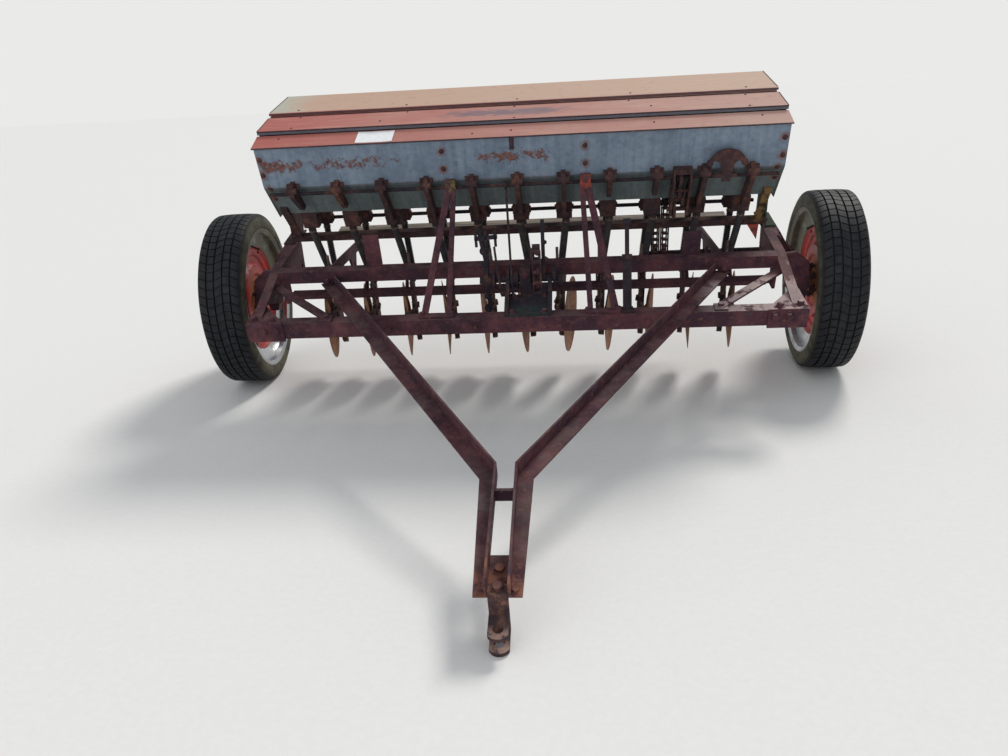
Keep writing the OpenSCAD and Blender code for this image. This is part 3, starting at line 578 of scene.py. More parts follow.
def make_box_trim():
    """Bolt heads, corner laps, rivets, hasp, tag and turned-over edges of the box."""
    heads, laps, edges = Shape(), Shape(), Shape()
    for x, y, z in PANEL_BOLTS:
        heads.round_head(on_panel(x, z) + PANEL_OUT * 0.1, PANEL_OUT if z > CREASE.z else LOWER_OUT, 9.5, 6)
    for s in (-1, 1):
        for y, z in END_BOLTS:
            heads.round_head((s * BOX_HALF, y, z), (s, 0, 0), 8, 4.5)
        for a, b in (((-262, 1160), (-249, 1010)), ((-249, 1004), (-165, 872))):
            start, end = Vector((s * BOX_HALF, *a)), Vector((s * BOX_HALF, *b))
            laps.strip(start + Vector((s * 2, 8, 0)), end + Vector((s * 2, 8, 0)), (0, 1, 0.2), 16, (s, 0, 0),
                       2, 0.6)
        for z in (1105, 1045):
            near, far = s * (BOX_HALF + 1), s * (BOX_HALF + 2.5)
            laps.wire([(near, -200, z), (far, -190, z), (far, 200, z + 6), (near, 210, z + 6)], 4, 8)
    for x in range(-900, 901, 150):
        heads.round_head((x + 20, 262.5, 1190), (0, 1, 0), 6, 3.5)
    heads.made("box_bolts", "frame", "cast_iron")
    laps.made("box_laps", "frame", "galvanised")
    reach = BOX_HALF + 5.5
    edges.wire([(-reach, -277.5, 1170), (reach, -277.5, 1170)], 2.8, 8)
    edges.slab([(-24, -272.6, 1172), (-4, -272.6, 1172), (-6, -268.5, 1122), (-22, -268.5, 1122)], FRONT, 2.2,
               0.6)
    edges.round_head((-14, -272.5, 1150), FRONT, 4, 3)
    edges.wire([(-22, -273, 1128), (-22, -279, 1126), (-14, -281, 1120), (-6, -279, 1126), (-6, -273, 1128)],
               2.0, 8)
    for x, y in ((-924, -212), (-162, -244), (-15, -232), (917, -212), (520, -225)):
        edges.round_head((x, y, strip_top(y)), (0, -0.2, 1), 4.2, 2.6)
    edges.made("strip_trim", "frame", "rusty_frame", "dark")
    tag = Shape()
    count = 10
    rows = []
    for i in range(count + 1):
        x = -611 + 143 * i / count
        lift = 0.9 + 1.3 * (2 * i / count - 1) ** 4
        rows.append([(x, -272, strip_top(-272) + lift), (x + 1.5, -192, strip_top(-192) + lift),
                     (x + 1.5, -192, strip_top(-192) + lift - 0.7), (x, -272, strip_top(-272) + lift - 0.7)])
    tag.rings(rows)
    tag.made("blank_tag", "frame", "red_oxide_lid", "tag")


def strip_top(y):
    """Height of the front strip's upper face."""
    front, low, high, width, sheet = -270, 1170, 1188, 86, 4.1
    return low + (y - front) * (high - low) / width + sheet


def lid_top(y):
    """Height of the middle lid's upper face."""
    front, low, rise, width = -180, 1209, 8, 164
    return low + (y - front) * rise / width


def make_lid_trim():
    """Rivets and rolled edges that move with each lid."""
    middle, rear = Shape(), Shape()
    for x, y in ((-884, -159), (-535, -124), (-5, -164), (519, -108), (879, -163),
                 (-10, -30), (888, -30), (-880, -30), (-440, -30), (440, -30)):
        middle.round_head((x, y, lid_top(y)), (0, -0.05, 1), 4.5, 2.8)
    reach = BOX_HALF + 5
    middle.wire([(-reach, -180, 1207), (reach, -180, 1207)], 2.6, 8)
    for s in (-1, 1):
        middle.wire([(s * reach, -178, 1208), (s * reach, -24, 1216)], 2.4, 8)
        rear.wire([(s * reach, 8, 1230), (s * reach, 266, 1230)], 2.6, 8)
    middle.made("middle_lid_trim", "middle_lid", "red_oxide_lid", "dark")
    rear.wire([(-reach, 271, 1208.5), (reach, 271, 1208.5)], 2.6, 8)
    for x in (-900, -450, 0, 450, 900):
        rear.round_head((x, 24, 1231), UP, 4.5, 2.8)
    rear.made("rear_lid_trim", "rear_lid", "red_oxide_lid", "dark")


# Frame and castings
def gear(shape, x0, x1, y, z, radius, teeth, bore=9, depth=6.5):
    """A cast spur gear across the drill, with a rim, a thin web and a boss."""
    rings, root, rim, web = [], radius - depth, radius * 0.7, radius * 0.66
    for k in range(teeth):
        for share, r in ((0.0, root), (0.16, root), (0.32, radius), (0.62, radius), (0.78, root)):
            a = turn(k + share, teeth)
            ring = [(x0, r), (x1, r), (x1, rim), (x1 - 3, web), (x1 - 3, bore + 6), (x1 + 2, bore + 4),
                    (x1 + 2, bore), (x0 - 2, bore), (x0 - 2, bore + 4), (x0 + 3, bore + 6),
                    (x0 + 3, web), (x0, rim)]
            rings.append([(x, y + q * math.cos(a), z + q * math.sin(a)) for x, q in ring])
    shape.rings(rings, loop=True)


def make_drive_gears():
    """Meshing gears between the cheeks of the drive bracket, their shafts and bolts."""
    shape = Shape()
    gear(shape, 618, 630, -262, 980, 33, 14, 7.2)
    gear(shape, 618, 630, -246, 921, 31, 13, 7)
    gear(shape, 634, 646, -228, 880, 26, 11, 7)
    for y, z in ((-246, 921), (-228, 880)):
        shape.boss([(7, 0), (7, 62), (5.5, 64)], (600, y, z), RIGHT, 16)
    shape.hex_bolt((594, -262, 948), (-1, 0, 0), 13, 6)
    shape.hex_bolt((666.5, -262, 948), RIGHT, 13, 6)
    for x in (606, 654):
        shape.hex_bolt((x, -287, 1012), (0, -1, 0.1), 13, 6, True, 0.4)
    shape.made("drive_gears", "frame", "cast_iron")


def make_right_end():
    """Red gusset, hanging chain and wire under the box's right end."""
    gusset = Shape()
    gusset.slab([(938, -83, 699), (985, -83, 699), (982, -83, 632)], FRONT, 5, 1)
    gusset.made("red_gusset", "frame", "cast_iron", "red_paint")
    chain = Shape()
    for k in range(9):
        middle = Vector((1004 + 2.0 * math.sin(k), -88, 690 - 13.5 * k))
        flat = Vector(RIGHT) if k % 2 else Vector((0, 1, 0))
        loop = []
        for j in range(14):
            a = turn(j, 14)
            loop.append(middle + flat * 4.6 * math.cos(a) + Vector((0, 0, 9.0)) * math.sin(a))
        chain.wire(loop, 1.8, 6, loop=True)
    chain.wire([(1004, -76, 702), (1004, -88, 704), (1004, -92, 697), (1004, -86, 692)], 2.2, 6)
    chain.made("hanging_chain", "frame", "bare_steel")


def make_pivot_collars():
    """Set collars and their screws along the openers' pivot rod."""
    shape = Shape()
    for x in ROWS:
        s = side_of(x)
        for offset in (19, 57):
            place = facing_place((x + s * offset - 6, *PIVOT), RIGHT)
            shape.lathe([(8, 0), (17, 0), (18, 1.5), (18, 10.5), (17, 12), (8, 12)], place, 20, caps=False)
            shape.hex_bolt((x + s * offset, -623, 556), FRONT, 10, 7, False)
    shape.made("pivot_collars", "frame", "bare_steel")


def make_lift_details():
    """Drum, ratchet, forked trip lever and bosses round the lift gear, and its sprocket chain."""
    shape, (y, z) = Shape(), LIFT_AT
    for x in (4, 18, 32):
        shape.boss([(27, 0), (30, 1), (30, 5), (27, 6)], (x, y - 2, z), RIGHT, 28)
    gear(shape, -52, -42, y, z, 50, 16, 12, 8)
    shape.lathe([(12, 0), (34, 0), (36, 2), (36, 8), (30, 10), (30, 24), (36, 26), (36, 32), (12, 32)],
                facing_place((-40, y, z), RIGHT), 32, caps=False)
    gear(shape, 128, 140, y, z + 12, 50, 14, 14, 9)
    shape.boss([(14, 0), (26, 0), (26, 14), (18, 16), (14, 16)], (-112, y, z), RIGHT, 26, caps=False)
    gear(shape, -108, -98, y, z, 40, 12, 12)
    for height, r in ((792, 17), (738, 13), (600, 14), (545, 17)):
        shape.boss([(r - 2, 0), (r, 1.5), (r, 9), (r - 2, 11)], (-132, -450, height), FRONT, 22)
        shape.hex_bolt((-132, -461, height), FRONT, r, 7, False)
    shape.slab([(-166, -452, 832), (-78, -452, 838), (-78, -452, 852), (-166, -452, 846)], FRONT, 12, 1.5)
    for x in (-160, -122, -86):
        shape.slab([(x - 5, -452, 806), (x + 5, -452, 806), (x + 5, -452, 872), (x - 5, -452, 872)], FRONT,
                   10, 1.5)
    shape.boss([(15, 0), (17, 1.5), (17, 12), (15, 13.5)], (-140, -392, 790), RIGHT, 20)
    for x in (-66, 96):
        shape.slab([(x - 12, -470, 600), (x + 12, -470, 600), (x + 9, -470, 648), (x - 9, -470, 648)], FRONT,
                   12, 2)
        shape.hex_bolt((x, -482, 622), FRONT, 17, 8)
    for height in (800, 866):
        shape.hex_bolt((100.5, -411, height), RIGHT, 11, 5)
    shape.wire([(-29, -500, 612), (-33, -470, 640), (-38, -380, 780), (-43, -300, 900)], 2.4, 8)
    shape.wire([(-72, -470, 606), (-84, -466, 700), (-92, -452, 806)], 4.5, 10)
    shape.wire([(148, -440, 700), (120, -452, 742), (96, -452, 760)], 4.5, 10)
    # The lift details take the darker iron, whose extra darkness is painted shade.
    shape.made("lift_details", "frame", "cast_iron", "shaded_dark_iron")
    chain = Shape()
    for k in range(5):
        low = 560 + 46 * k
        corners = [(52, low), (82, low), (82, low + 36), (52, low + 36)]
        chain.wire([(x, -453.5, height) for x, height in corners], 3.6, 6, loop=True)
        chain.wire([(50, -453.5, low + 41), (84, -453.5, low + 41)], 3.6, 8)
    chain.made("lift_chain", "frame", "cast_iron", "chain_rust")


def make_frame_bolts():
    """Hexagon bolts and washers of the frame and its corner castings."""
    shape = Shape()
    down = FRAME_TOP - 32
    for s in (-1, 1):
        for x in (940, 990):
            shape.hex_bolt((s * x, -647, down + 10), FRONT, 24, 12, True, 0.2)
        for y in (-605, -568):
            shape.hex_bolt((s * 1059, y, down + 4), (s, 0, 0), 22, 11, True, 0.4)
        for x, y in ((960, -622), (1030, -540), (1036, -610)):
            shape.hex_bolt((s * x, y, 607), UP, 22, 11, True, 0.7)
        for y, z in ((-120, 655), (-60, 655), (20, 650), (80, 650)):
            shape.hex_bolt((s * 1059, y, z), (s, 0, 0), 22, 11, True, 0.1 * y)
        for y, z in ((-30, 700), (60, 700), (-20, 900), (60, 900)):
            shape.hex_bolt((s * (BOX_HALF + 8), y, z), (s, 0, 0), 16, 8)
        shape.hex_bolt((s * 748, -611, 608), UP, 20, 10, True, 0.5)
        for x in (258, 372):
            shape.hex_bolt((s * x, -614, 609), UP, 19, 9, True, 0.3)
        shape.hex_bolt((s * 803, -345.5, 634), FRONT, 19, 9)
    for x in (-500, -170, 170, 480):
        shape.hex_bolt((x, -640, down), FRONT, 19, 9, True, x)
    for x in (-28, 96):
        for y in (-616, -486):
            shape.hex_bolt((x, y, 609), UP, 19, 9, True, y)
    for z in (640, 700, 775):
        shape.hex_bolt((72, -450, z), FRONT, 16, 8)
    shape.hex_bolt((20, -462, 585), FRONT, 18, 8)
    shape.hex_bolt((20, -462, 685), FRONT, 18, 8)
    for x in (-64, 152):
        shape.hex_bolt((x, *LIFT_AT), (1 if x > 0 else -1, 0, 0), 18, 8)
    shape.made("frame_bolts", "frame", "rusty_frame")


def make_bracket_trim():
    """Bolt heads and cast rims on the hanger brackets and the cups."""
    shape = Shape()
    for k, x in enumerate(ROWS):
        shape.hex_bolt((x, -270, 1015), (0, -1, 0.1), 14, 7, True, k)
        shape.boss([(12, 0), (13, 2), (13, 5), (7, 6)], (x + 15, -289, 1000), RIGHT, 20)
        shape.boss([(12, 0), (13, 2), (13, 5), (7, 6)], (x - 15, -289, 1000), (-1, 0, 0), 20)
        for s in (-1, 1):
            shape.hex_bolt((x + s * 32, -129, 835), (s, 0, 0), 11, 5)
            shape.hex_bolt((x + s * 26, 80, 850), (s, 0, 0), 11, 5)
            shape.boss([(16, 0), (16, 4), (12, 6)], (x + s * 26, 80, 744), (s, 0, 0), 22)
        for z in (852, 822):
            shape.strip((x - 34, -155.5, z), (x + 34, -155.5, z), UP, 6, FRONT, 4, 0.8)
    shape.made("bracket_bolts", "frame", "cast_iron")


# Finishes
def frame_rust():
    """Frame steel: thin old paint worn through to a dark purple-brown rust, darker and more purple than its own
    colour as painted shade; paler where the sun reaches, as painted sunlight.
    """
    f = Finish("frame_rust", Metallic=0.0)
    x, y, z = f.axes()
    broad, fine, grit = f.noise(3.2, 4), f.noise(21, 5, 0.7), f.noise(160, 3, 0.7)
    # Painted shade: the rust tones are darker and more purple than the steel's own colour.
    f.colour = f.tones(broad * 0.5 + fine * 0.5, (0.3, (0.022, 0.011, 0.019)), (0.45, (0.046, 0.019, 0.029)),
                       (0.56, (0.092, 0.033, 0.041)), (0.7, (0.165, 0.066, 0.06)))
    scale = f.noise(55, 4, 0.7).step(0.58, 0.68)
    f.coat(scale * 0.55, (0.205, 0.085, 0.05))
    # Worn patches of old paint, tinted blue: the blue is a painted sky reflection on the worn paint.
    worn = (f.noise(11, 5, 0.75) * 0.8 + grit * 0.2).step(0.58, 0.64)
    f.coat(worn * 0.5, (0.052, 0.043, 0.06))
    up = f.facing("Z").step(0.6, 0.95)
    dust = up * f.noise(7, 4, 0.7).step(0.42, 0.62)
    f.coat(dust * 0.22, (0.27, 0.19, 0.16))
    # Painted sunlight: the tops at the frame's right front corner are pale in blotches, over worn pale paint and
    # dust.
    corner = up * x.step(0.66, 0.76) * y.step(-0.4, -0.44) * z.band(0.59, 0.64, 0.004)
    blotch = f.noise(17, 4, 0.7).step(0.6, 0.52)
    f.coat(corner * blotch * 0.85, f.mix(fine, (0.3, 0.215, 0.205), (0.52, 0.42, 0.4)))
    # The tongue's front end is a lighter orange: orange rust, with painted sunlight on it.
    nose = y.step(-1.8, -1.9) * fine.step(0.44, 0.58)
    f.coat(nose * 0.6, (0.27, 0.115, 0.062))
    head = z.step(0.945, 0.985) * y.step(-0.24, -0.25) * f.noise(30, 4, 0.75).step(0.49, 0.56)
    old_paint = f.mix(x.step(-0.02, 0.02), (0.165, 0.13, 0.034), (0.3, 0.055, 0.026))
    f.coat(head * x.size().band(0.236, 0.286, 0.002) * 0.8, old_paint)
    return f.finish(rough=0.88 - worn * 0.3 - broad * 0.15, bump=fine * 0.5 + grit * 0.5 + scale * 0.4,
                    depth=0.0014, gloss=0.25)


def cast_rust(name="cast_rust", tint=(0.055, 0.028, 0.029), bright=(0.145, 0.062, 0.04)):
    """Castings and forged parts: sandy skin, brown rust with orange bloom."""
    f = Finish(name, Metallic=0.0)
    broad, fine, grit = f.noise(6, 4), f.noise(34, 5, 0.65), f.noise(220, 2, 0.7)
    dark = tuple(0.5 * c for c in tint)
    f.colour = f.tones(broad * 0.45 + fine * 0.55, (0.32, dark), (0.5, tint), (0.66, bright))
    bloom = f.noise(13, 5, 0.75).step(0.55, 0.66)
    f.coat(bloom * 0.55, bright)
    soot = f.noise(9, 3, 0.6, swirl=1.2).step(0.52, 0.62)
    f.coat(soot * 0.5, (0.034, 0.026, 0.034))
    x, y, z = f.axes()
    base = x.band(-0.045, 0.112, 0.002) * y.step(-0.55, -0.57) * z.band(0.59, 0.612, 0.001)
    f.coat(base * 0.85, f.mix(fine, (0.01, 0.022, 0.019), (0.04, 0.062, 0.05)))
    # Painted shade: the lift gear's region is darkened toward blue-black.
    lift = x.band(-0.17, 0.17, 0.01) * y.step(-0.36, -0.39)
    f.coat(lift * fine.step(0.62, 0.46) * 0.6, (0.026, 0.024, 0.036))
    # Painted sunlight: the clevis ears' upward faces are coloured pale rust.
    sunlit_ear_tops = y.step(-1.985, -2.01) * f.facing("Z").step(0.5, 0.85)
    f.coat(sunlit_ear_tops * fine.step(0.34, 0.46) * 0.8, f.mix(fine, (0.24, 0.135, 0.105), (0.52, 0.36, 0.29)))
    # Painted shade with grease: the clevis web between the ears is near black.
    greasy_shaded_gap = y.step(-2.075, -2.06) * z.band(0.484, 0.512, 0.002) * sunlit_ear_tops
    f.coat(greasy_shaded_gap * 0.85, (0.016, 0.011, 0.012))
    post = x.band(0.955, 1, 0.004) * y.step(-0.02, -0.05) * z.band(0.715, 0.9, 0.01)
    f.coat(post * fine.step(0.38, 0.5) * 0.8, (0.235, 0.145, 0.045))
    plate = x.step(1.008, 1.011) * z.band(0.6, 0.8, 0.03) * f.noise(9, 4, 0.7).step(0.42, 0.52)
    f.coat(plate * 0.7, (0.03, 0.08, 0.04))
    return f.finish(rough=0.9 - bloom * 0.1, bump=fine * 0.5 + grit * 0.6 + bloom * 0.3, depth=0.0016,
                    gloss=0.25)


def worn_steel():
    """Shafts and rods: steel gone brown, rubbed bright along its length."""
    f = Finish("worn_steel")
    along = f.stretched((6, 90, 90))
    fine, grit = f.noise(30, 4, 0.65), f.noise(180, 2)
    rubbed = f.noise(1, 4, 0.7, at=along).step(0.5, 0.64)
    f.colour = f.tones(fine, (0.34, (0.055, 0.036, 0.036)), (0.52, (0.12, 0.07, 0.055)),
                       (0.68, (0.2, 0.105, 0.07)))
    f.coat(rubbed * 0.45, (0.22, 0.2, 0.19))
    return f.finish(rough=0.78 - rubbed * 0.35, bump=fine + grit * 0.5, depth=0.0008, metal=rubbed * 0.7)


def galvanised():
    """Box sheet: weathered zinc, streaked downwards, rust breaking through in patches."""
    f = Finish("galvanised")
    x, y, z = f.axes()
    broad, fine = f.noise(4.5, 4), f.noise(45, 4, 0.7)
    spangle = f.cells(62, output="Color")
    streak = f.noise(1, 4, 0.65, at=f.stretched((34, 3, 1.6)))
    wash = broad * 0.45 + streak * 0.35 + fine * 0.2
    # Painted shade: the zinc tones are bluer and darker than the sheet's own colour, as in shade under blue sky.
    f.colour = f.tones(wash, (0.32, (0.088, 0.126, 0.172)), (0.48, (0.14, 0.188, 0.255)),
                       (0.64, (0.235, 0.296, 0.37)))
    glint = f.node("ShaderNodeSeparateColor", Color=spangle).outputs[0]
    f.coat(Value(f, glint) * 0.16, (0.4, 0.44, 0.48))
    # Below the crease the sheet is much darker and greener: grime, and painted shade on the lower panel that faces
    # down.
    under = z.step(1.012, 0.995) * y.step(-0.1, -0.13)
    grime_and_shade = f.tones(streak * 0.6 + fine * 0.4, (0.34, (0.055, 0.066, 0.06)), (0.6, (0.125, 0.15, 0.132)))
    f.coat(under * 0.78, grime_and_shade)
    pale_run = f.noise(1, 3, 0.6, at=f.stretched((70, 8, 5))).step(0.66, 0.74) * under
    f.coat(pale_run * 0.4, (0.3, 0.33, 0.31))
    front = y.step(-0.2, -0.23)
    rows = x.band(-1.02, -0.44, 0.03) + x.band(-0.17, 0.12, 0.03)
    zone = front * rows * z.band(1.07, 1.118, 0.014)
    speck = f.noise(58, 5, 0.8) * 0.66 + f.noise(15, 3) * 0.34
    rust = (speck + zone * 0.135 + x.step(-0.9, -0.99) * zone * 0.07).step(0.615, 0.66)
    bolts = None
    for point in PANEL_BOLTS:
        stain = f.from_point(Vector(point) * MM).step(0.026, 0.01)
        bolts = stain if bolts is None else bolts.most(stain)
    rust = rust.most(bolts * fine.step(0.4, 0.52))
    edge = z.band(1, 1.01, 0.006) * fine.step(0.5, 0.6) * front
    rust = rust.most(edge * 0.6)
    iron = f.tones(f.noise(90, 3, 0.7), (0.36, (0.07, 0.026, 0.022)), (0.62, (0.215, 0.075, 0.043)))
    f.coat(rust * 0.9, iron)
    dents = f.noise(2.6, 2) * 3 + fine * 0.1
    return f.finish(rough=0.52 + rust * 0.38 + under * 0.15 + fine * 0.12,
                    metal=0.35 - rust * 0.35 - under * 0.2, bump=dents + rust * 0.25, depth=0.0022)


def faded_lid():
    """Lids: red oxide paint faded to salmon, chalkier to the right and the rear."""
    f = Finish("faded_lid")
    x, y = f.axis("X"), f.axis("Y")
    broad, fine, grit = f.noise(3, 4), f.noise(26, 5, 0.7), f.noise(240, 2)
    chalk = (x * 0.42 + 0.42 + (broad - 0.5) * 0.7).clipped()
    f.colour = f.mix(chalk, (0.385, 0.108, 0.088), (0.455, 0.3, 0.245))
    rear = y.step(-0.004, 0.006)
    tan = f.mix((x * 0.3 + 0.5 + (broad - 0.5)).clipped(), (0.49, 0.345, 0.245), (0.5, 0.355, 0.27))
    f.coat(rear * 0.85, tan)
    bare_end = rear * (x + (broad - 0.5) * 0.3).step(-0.82, -0.97)
    f.coat(bare_end * 0.85, (0.4, 0.43, 0.36))
    brushed = f.noise(1, 4, 0.7, at=f.stretched((5, 46, 46)))
    f.coat(brushed.step(0.5, 0.75) * 0.35, (0.62, 0.42, 0.33))
    f.coat(fine.step(0.56, 0.7) * 0.35, (0.3, 0.1, 0.075))
    scuff_zone = x.band(-0.3, 0.22, 0.1) * y.band(-0.135, -0.05, 0.024) * rear.step(1, 0)
    scuff = (f.noise(1, 5, 0.8, at=f.stretched((22, 60, 60))) + scuff_zone * 0.24).step(0.6, 0.7) * scuff_zone
    f.coat(scuff * 0.85, (0.135, 0.092, 0.118))
    lip = f.facing("Y").step(-0.8, -0.95) * y.band(-0.19, -0.17, 0.004)
    # Painted shade: the upright step face between the middle and rear lids is near-black purple, for the shaded
    # gap.
    shaded_step_face = f.facing("Y").step(-0.7, -0.9) * y.band(-0.03, 0.03, 0.006)
    f.coat(lip * 0.9, f.mix(fine, (0.045, 0.065, 0.092), (0.125, 0.155, 0.195)))
    f.coat(shaded_step_face * 0.9, f.mix(fine, (0.022, 0.012, 0.026), (0.065, 0.026, 0.038)))
    below = f.facing("Z").step(-0.2, -0.6)
    f.coat(below * 0.8, f.mix(fine, (0.12, 0.115, 0.12), (0.22, 0.15, 0.12)))
    freckle = f.noise(95, 3, 0.75).step(0.7, 0.76)
    f.coat(freckle * 0.7, (0.115, 0.048, 0.036))
    return f.finish(rough=0.8 - scuff * 0.2, bump=f.noise(2.2, 2) * 3 + fine * 0.15 + grit * 0.05,
                    depth=0.002)


def tyre_black():
    """Old tyre rubber: black ribs, dust in the grooves and over the sidewalls, fine checking."""
    f = Finish("tyre_black", Metallic=0.0)
    across, radius = f.on_wheel()[:2]
    fine, grit = f.noise(28, 4, 0.7), f.noise(260, 2)
    tread = radius.step(0.366, 0.378)
    deep = radius.step(0.386, 0.38) * tread
    wall = f.tones(fine, (0.36, (0.026, 0.025, 0.022)), (0.66, (0.088, 0.082, 0.06)))
    black = f.tones(fine, (0.4, (0.0045, 0.0055, 0.008)), (0.68, (0.016, 0.017, 0.021)))
    f.colour = f.mix(tread, wall, black)
    f.coat(deep * 0.35, (0.06, 0.054, 0.044))
    inner = across.step(-0.02, -0.08) * tread.step(1, 0)
    f.coat(inner * f.noise(7, 4).step(0.35, 0.6) * 0.5, (0.17, 0.165, 0.105))
    rings = radius.waves(900).step(0.7, 1.0) * radius.band(0.318, 0.35, 0.004)
    checks = f.cells(150, feature="DISTANCE_TO_EDGE").step(0.05, 0.0) * tread.step(1, 0.2)
    f.coat(checks * 0.45, (0.012, 0.012, 0.012))
    return f.finish(rough=0.8 - tread * 0.2 + deep * 0.2, depth=0.0009, gloss=0.28,
                    bump=fine * 0.4 + grit * 0.2 + rings * 0.8 - checks * 0.5)


def wheel_red():
    """Pressed wheel disc: red paint in rings, rusting outwards from the hub."""
    f = Finish("wheel_red")
    radius = f.on_wheel()[1]
    broad, fine = f.noise(9, 4), f.noise(60, 5, 0.7)
    fade = broad.step(0.38, 0.62)
    f.colour = f.mix(fade, (0.25, 0.01, 0.012), (0.5, 0.026, 0.024))
    ring = radius.waves(210).step(0.2, 1.0)
    f.coat(ring * fine * 0.2, (0.6, 0.14, 0.09))
    worn = (fine + radius.waves(130) * 0.08).step(0.6, 0.7)
    f.coat(worn * 0.65, (0.16, 0.05, 0.036))
    heart = (radius + (broad - 0.5) * 0.1).step(0.135, 0.085)
    f.coat(heart * 0.85, f.mix(fine, (0.16, 0.055, 0.028), (0.42, 0.165, 0.06)))
    rough = 0.42 + worn * 0.35 + heart * 0.4 + fine * 0.1
    return f.finish(rough=rough, bump=fine * 0.3 + worn * 0.3 + heart * fine * 0.6, depth=0.001, gloss=0.35)


def bright_barrel():
    """Rim: bright plated barrel, scratched round, dusty in its low corners."""
    f = Finish("bright_barrel")
    across, radius, angle = f.on_wheel()
    fine = f.noise(40, 4, 0.7)
    around = f.node("ShaderNodeCombineXYZ", X=across * 420, Y=radius * 420, Z=angle * 1.5)
    scratch = f.noise(1, 3, 0.7, at=Value(f, around.outputs[0]))  # rings of fine scratches
    lip = across.size().step(0.08, 0.09)
    dirt = f.noise(8, 4, 0.75).step(0.5, 0.66)
    pits = f.noise(120, 3, 0.8).step(0.67, 0.74)
    f.colour = f.mix(scratch, (0.3, 0.315, 0.335), (0.52, 0.535, 0.55))
    # Painted shade with dust: the barrel's upper half is coloured dark olive and made less metallic.
    film = f.axis("Z").step(-0.06, 0.06) * f.noise(5, 4, 0.7).step(0.22, 0.45)
    f.coat(film * 0.95, (0.082, 0.078, 0.046))
    f.coat(dirt * 0.45, (0.3, 0.25, 0.17))
    f.coat((pits + lip * fine.step(0.55, 0.66)).clipped() * 0.7, (0.26, 0.13, 0.075))
    rough = 0.16 + scratch * 0.1 + dirt * 0.3 + pits * 0.4 + lip * 0.15 + film * 0.3
    return f.finish(rough=rough, metal=1 - dirt * 0.55 - pits * 0.4 - film * 0.85,
                    bump=scratch * 0.5 + dirt * 0.4 + pits * 0.4, depth=0.0006)


def rubber_tube():
    """Seed tubes: perished black rubber with a dusty bloom on the ribs."""
    f = Finish("rubber_tube", Metallic=0.0)
    fine, grit = f.noise(40, 4, 0.7), f.noise(7, 3)
    f.colour = f.tones(fine, (0.36, (0.016, 0.014, 0.018)), (0.66, (0.055, 0.046, 0.048)))
    bloom = (grit + (f.facing("Z") - 0.5) * 0.2).step(0.46, 0.66)
    f.coat(bloom * 0.45, (0.115, 0.085, 0.072))
    return f.finish(rough=0.72 + fine * 0.2, bump=fine, depth=0.0008)


def disc_rust():
    """Opener discs: orange-brown rust, rings of wear toward the cutting edge."""
    f = Finish("disc_rust")
    y, z = f.axis("Y") - DISC_AT[0] * MM, f.axis("Z") - DISC_AT[1] * MM
    radius = (y * y + z * z) ** 0.5
    broad, fine, grit = f.noise(8, 4), f.noise(50, 5, 0.7), f.noise(230, 2)
    f.colour = f.tones(broad * 0.4 + fine * 0.6, (0.34, (0.125, 0.05, 0.03)), (0.5, (0.275, 0.12, 0.062)),
                       (0.66, (0.46, 0.235, 0.13)))
    rim = radius.step(0.15, 0.168)
    polish = (rim * 0.5 + radius.waves(420) * 0.12 + fine * 0.5).step(0.55, 0.8)
    f.coat(polish * 0.5, (0.23, 0.17, 0.14))
    dark = radius.step(0.045, 0.028)
    f.coat(dark * 0.6, (0.075, 0.045, 0.04))
    return f.finish(rough=0.86 - polish * 0.32, metal=polish * 0.5,
                    bump=fine * 0.6 + grit * 0.3 + radius.waves(420) * 0.06, depth=0.001)


def old_board():
    """Footboard: grey weathered plank, long grain, cracks and dark knots."""
    f = Finish("old_board", Metallic=0.0)
    grain = f.noise(1, 5, 0.7, at=f.stretched((2.2, 60, 60)), swirl=0.4)
    fibre = f.noise(1, 3, 0.7, at=f.stretched((9, 320, 320)))
    f.colour = f.tones(grain, (0.34, (0.085, 0.066, 0.052)), (0.52, (0.19, 0.155, 0.122)),
                       (0.68, (0.33, 0.28, 0.225)))
    crack = f.noise(1, 4, 0.6, at=f.stretched((1.6, 95, 95), (3, 1, 2))).step(0.35, 0.31)
    f.coat(crack * 0.85, (0.03, 0.022, 0.017))
    knot = f.cells(5, at=f.stretched((1, 2.2, 2.2))).step(0.1, 0.05)
    f.coat(knot * 0.7, (0.06, 0.038, 0.025))
    return f.finish(rough=0.9, bump=fibre * 0.4 + grain * 0.5 - crack * 1.2, depth=0.0022)


def plain_tag():
    """The blank tag: white card, a little dusty and curled."""
    f = Finish("blank_tag", Metallic=0.0)
    fine = f.noise(60, 4)
    f.colour = f.mix(fine.step(0.4, 0.75) * 0.5, (0.83, 0.85, 0.86), (0.62, 0.62, 0.6))
    return f.finish(rough=0.6 + fine * 0.2, bump=fine, depth=0.0003)


def black_edge():
    """Sheet edges and hasp: nearly black old paint over rust."""
    f = Finish("dark_edge")
    fine, grit = f.noise(44, 4, 0.7), f.noise(190, 2)
    f.colour = f.tones(fine, (0.36, (0.018, 0.012, 0.018)), (0.58, (0.06, 0.028, 0.034)),
                       (0.72, (0.15, 0.06, 0.045)))
    return f.finish(rough=0.7 + grit * 0.2, bump=fine + grit * 0.3, depth=0.0008)


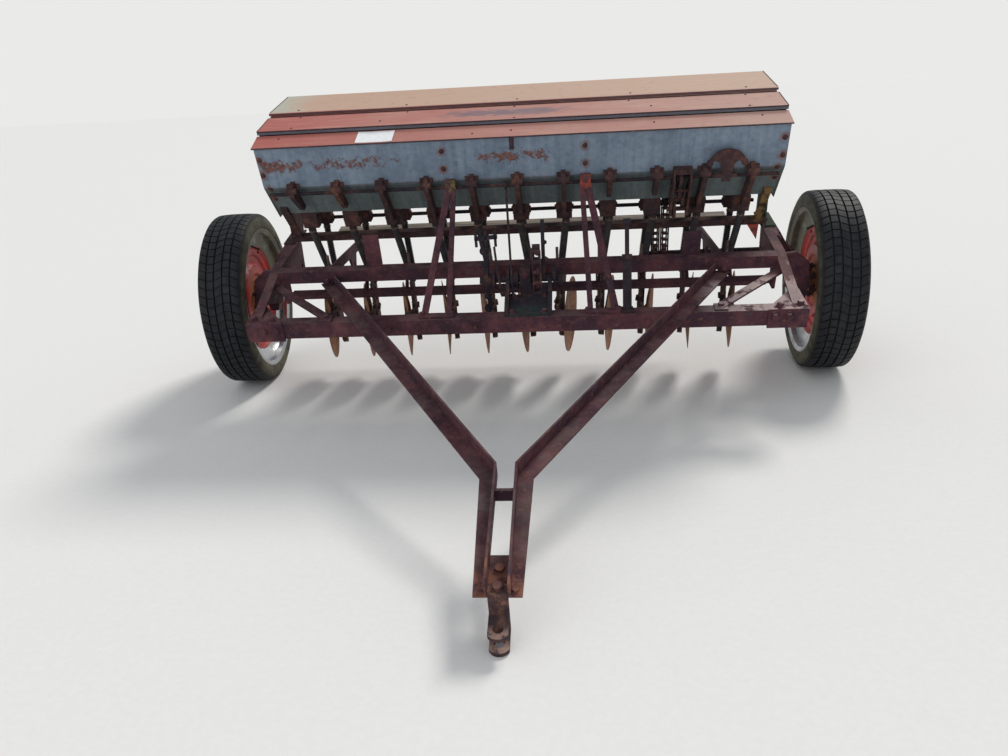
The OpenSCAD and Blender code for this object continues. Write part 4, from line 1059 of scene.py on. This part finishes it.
def chipped_red():
    """A small gusset in old red paint."""
    f = Finish("chipped_red", Metallic=0.0)
    fine = f.noise(48, 5, 0.7)
    paint = (fine * 0.7 + f.noise(14, 3) * 0.3).step(0.42, 0.5)
    f.colour = f.mix(paint, (0.085, 0.036, 0.03), f.mix(fine, (0.26, 0.026, 0.02), (0.42, 0.065, 0.04)))
    return f.finish(rough=0.8 - paint * 0.25, bump=paint * 0.5 + fine * 0.4, depth=0.0008)


FINISH = {
    "rusty_frame": frame_rust(), "cast_iron": cast_rust(), "bare_steel": worn_steel(),
    "tyre_rubber": tyre_black(), "red_disc": wheel_red(), "bright_rim": bright_barrel(),
    "galvanised": galvanised(), "red_oxide_lid": faded_lid(), "tube_black": rubber_tube(),
    "disc_steel": disc_rust(), "weathered_wood": old_board(), "tag": plain_tag(), "dark": black_edge(),
    # The hitch and hub finishes are lighter, more orange copies of the cast rust: orange rust, with painted
    # sunlight.
    "hitch": cast_rust("sunlit_hitch_rust", (0.125, 0.06, 0.047), (0.3, 0.15, 0.096)),
    "hub": cast_rust("sunlit_hub_rust", (0.15, 0.062, 0.03), (0.42, 0.175, 0.065)),
    "red_paint": chipped_red(),
    # A darker, bluer copy of the cast rust: painted shade on the lift gear, its details and the feed shaft.
    "shaded_dark_iron": cast_rust("shaded_dark_iron", (0.024, 0.018, 0.024), (0.11, 0.048, 0.036)),
    "chain_rust": cast_rust("chain_rust", (0.12, 0.055, 0.05), (0.26, 0.12, 0.085)),
}
# Own finishes: the clevis and hubs take the lighter rust with painted sunlight, the lift gear and feed shaft the
# darker iron with painted shade.
OWN_FINISH = {"hitch_clevis": "hitch", "hub_left": "hub", "hub_right": "hub", "lift_gear": "shaded_dark_iron",
              "feed_shaft": "shaded_dark_iron"}


look_from_photo()
studio()
lay_floor()
for row in frame["record"]["subparts"]:
    mesh = nodes[row["node"]].data
    mesh.materials.clear()
    mesh.materials.append(FINISH[OWN_FINISH.get(row["node"], row["material_slot"])])
for side, body in ((-1, "wheel_left"), (1, "wheel_right")):
    name = body.split("_")[1]
    make_tyre(side, "ribbed_tyre_" + name, body)
    make_wheel_trim(side, "hub_nuts_" + name, body)
make_springs()
make_tubes()
make_opener_trim()
make_box_trim()
make_lid_trim()
make_frame_bolts()
make_bracket_trim()
make_drive_gears()
make_right_end()
make_pivot_collars()
make_lift_details()
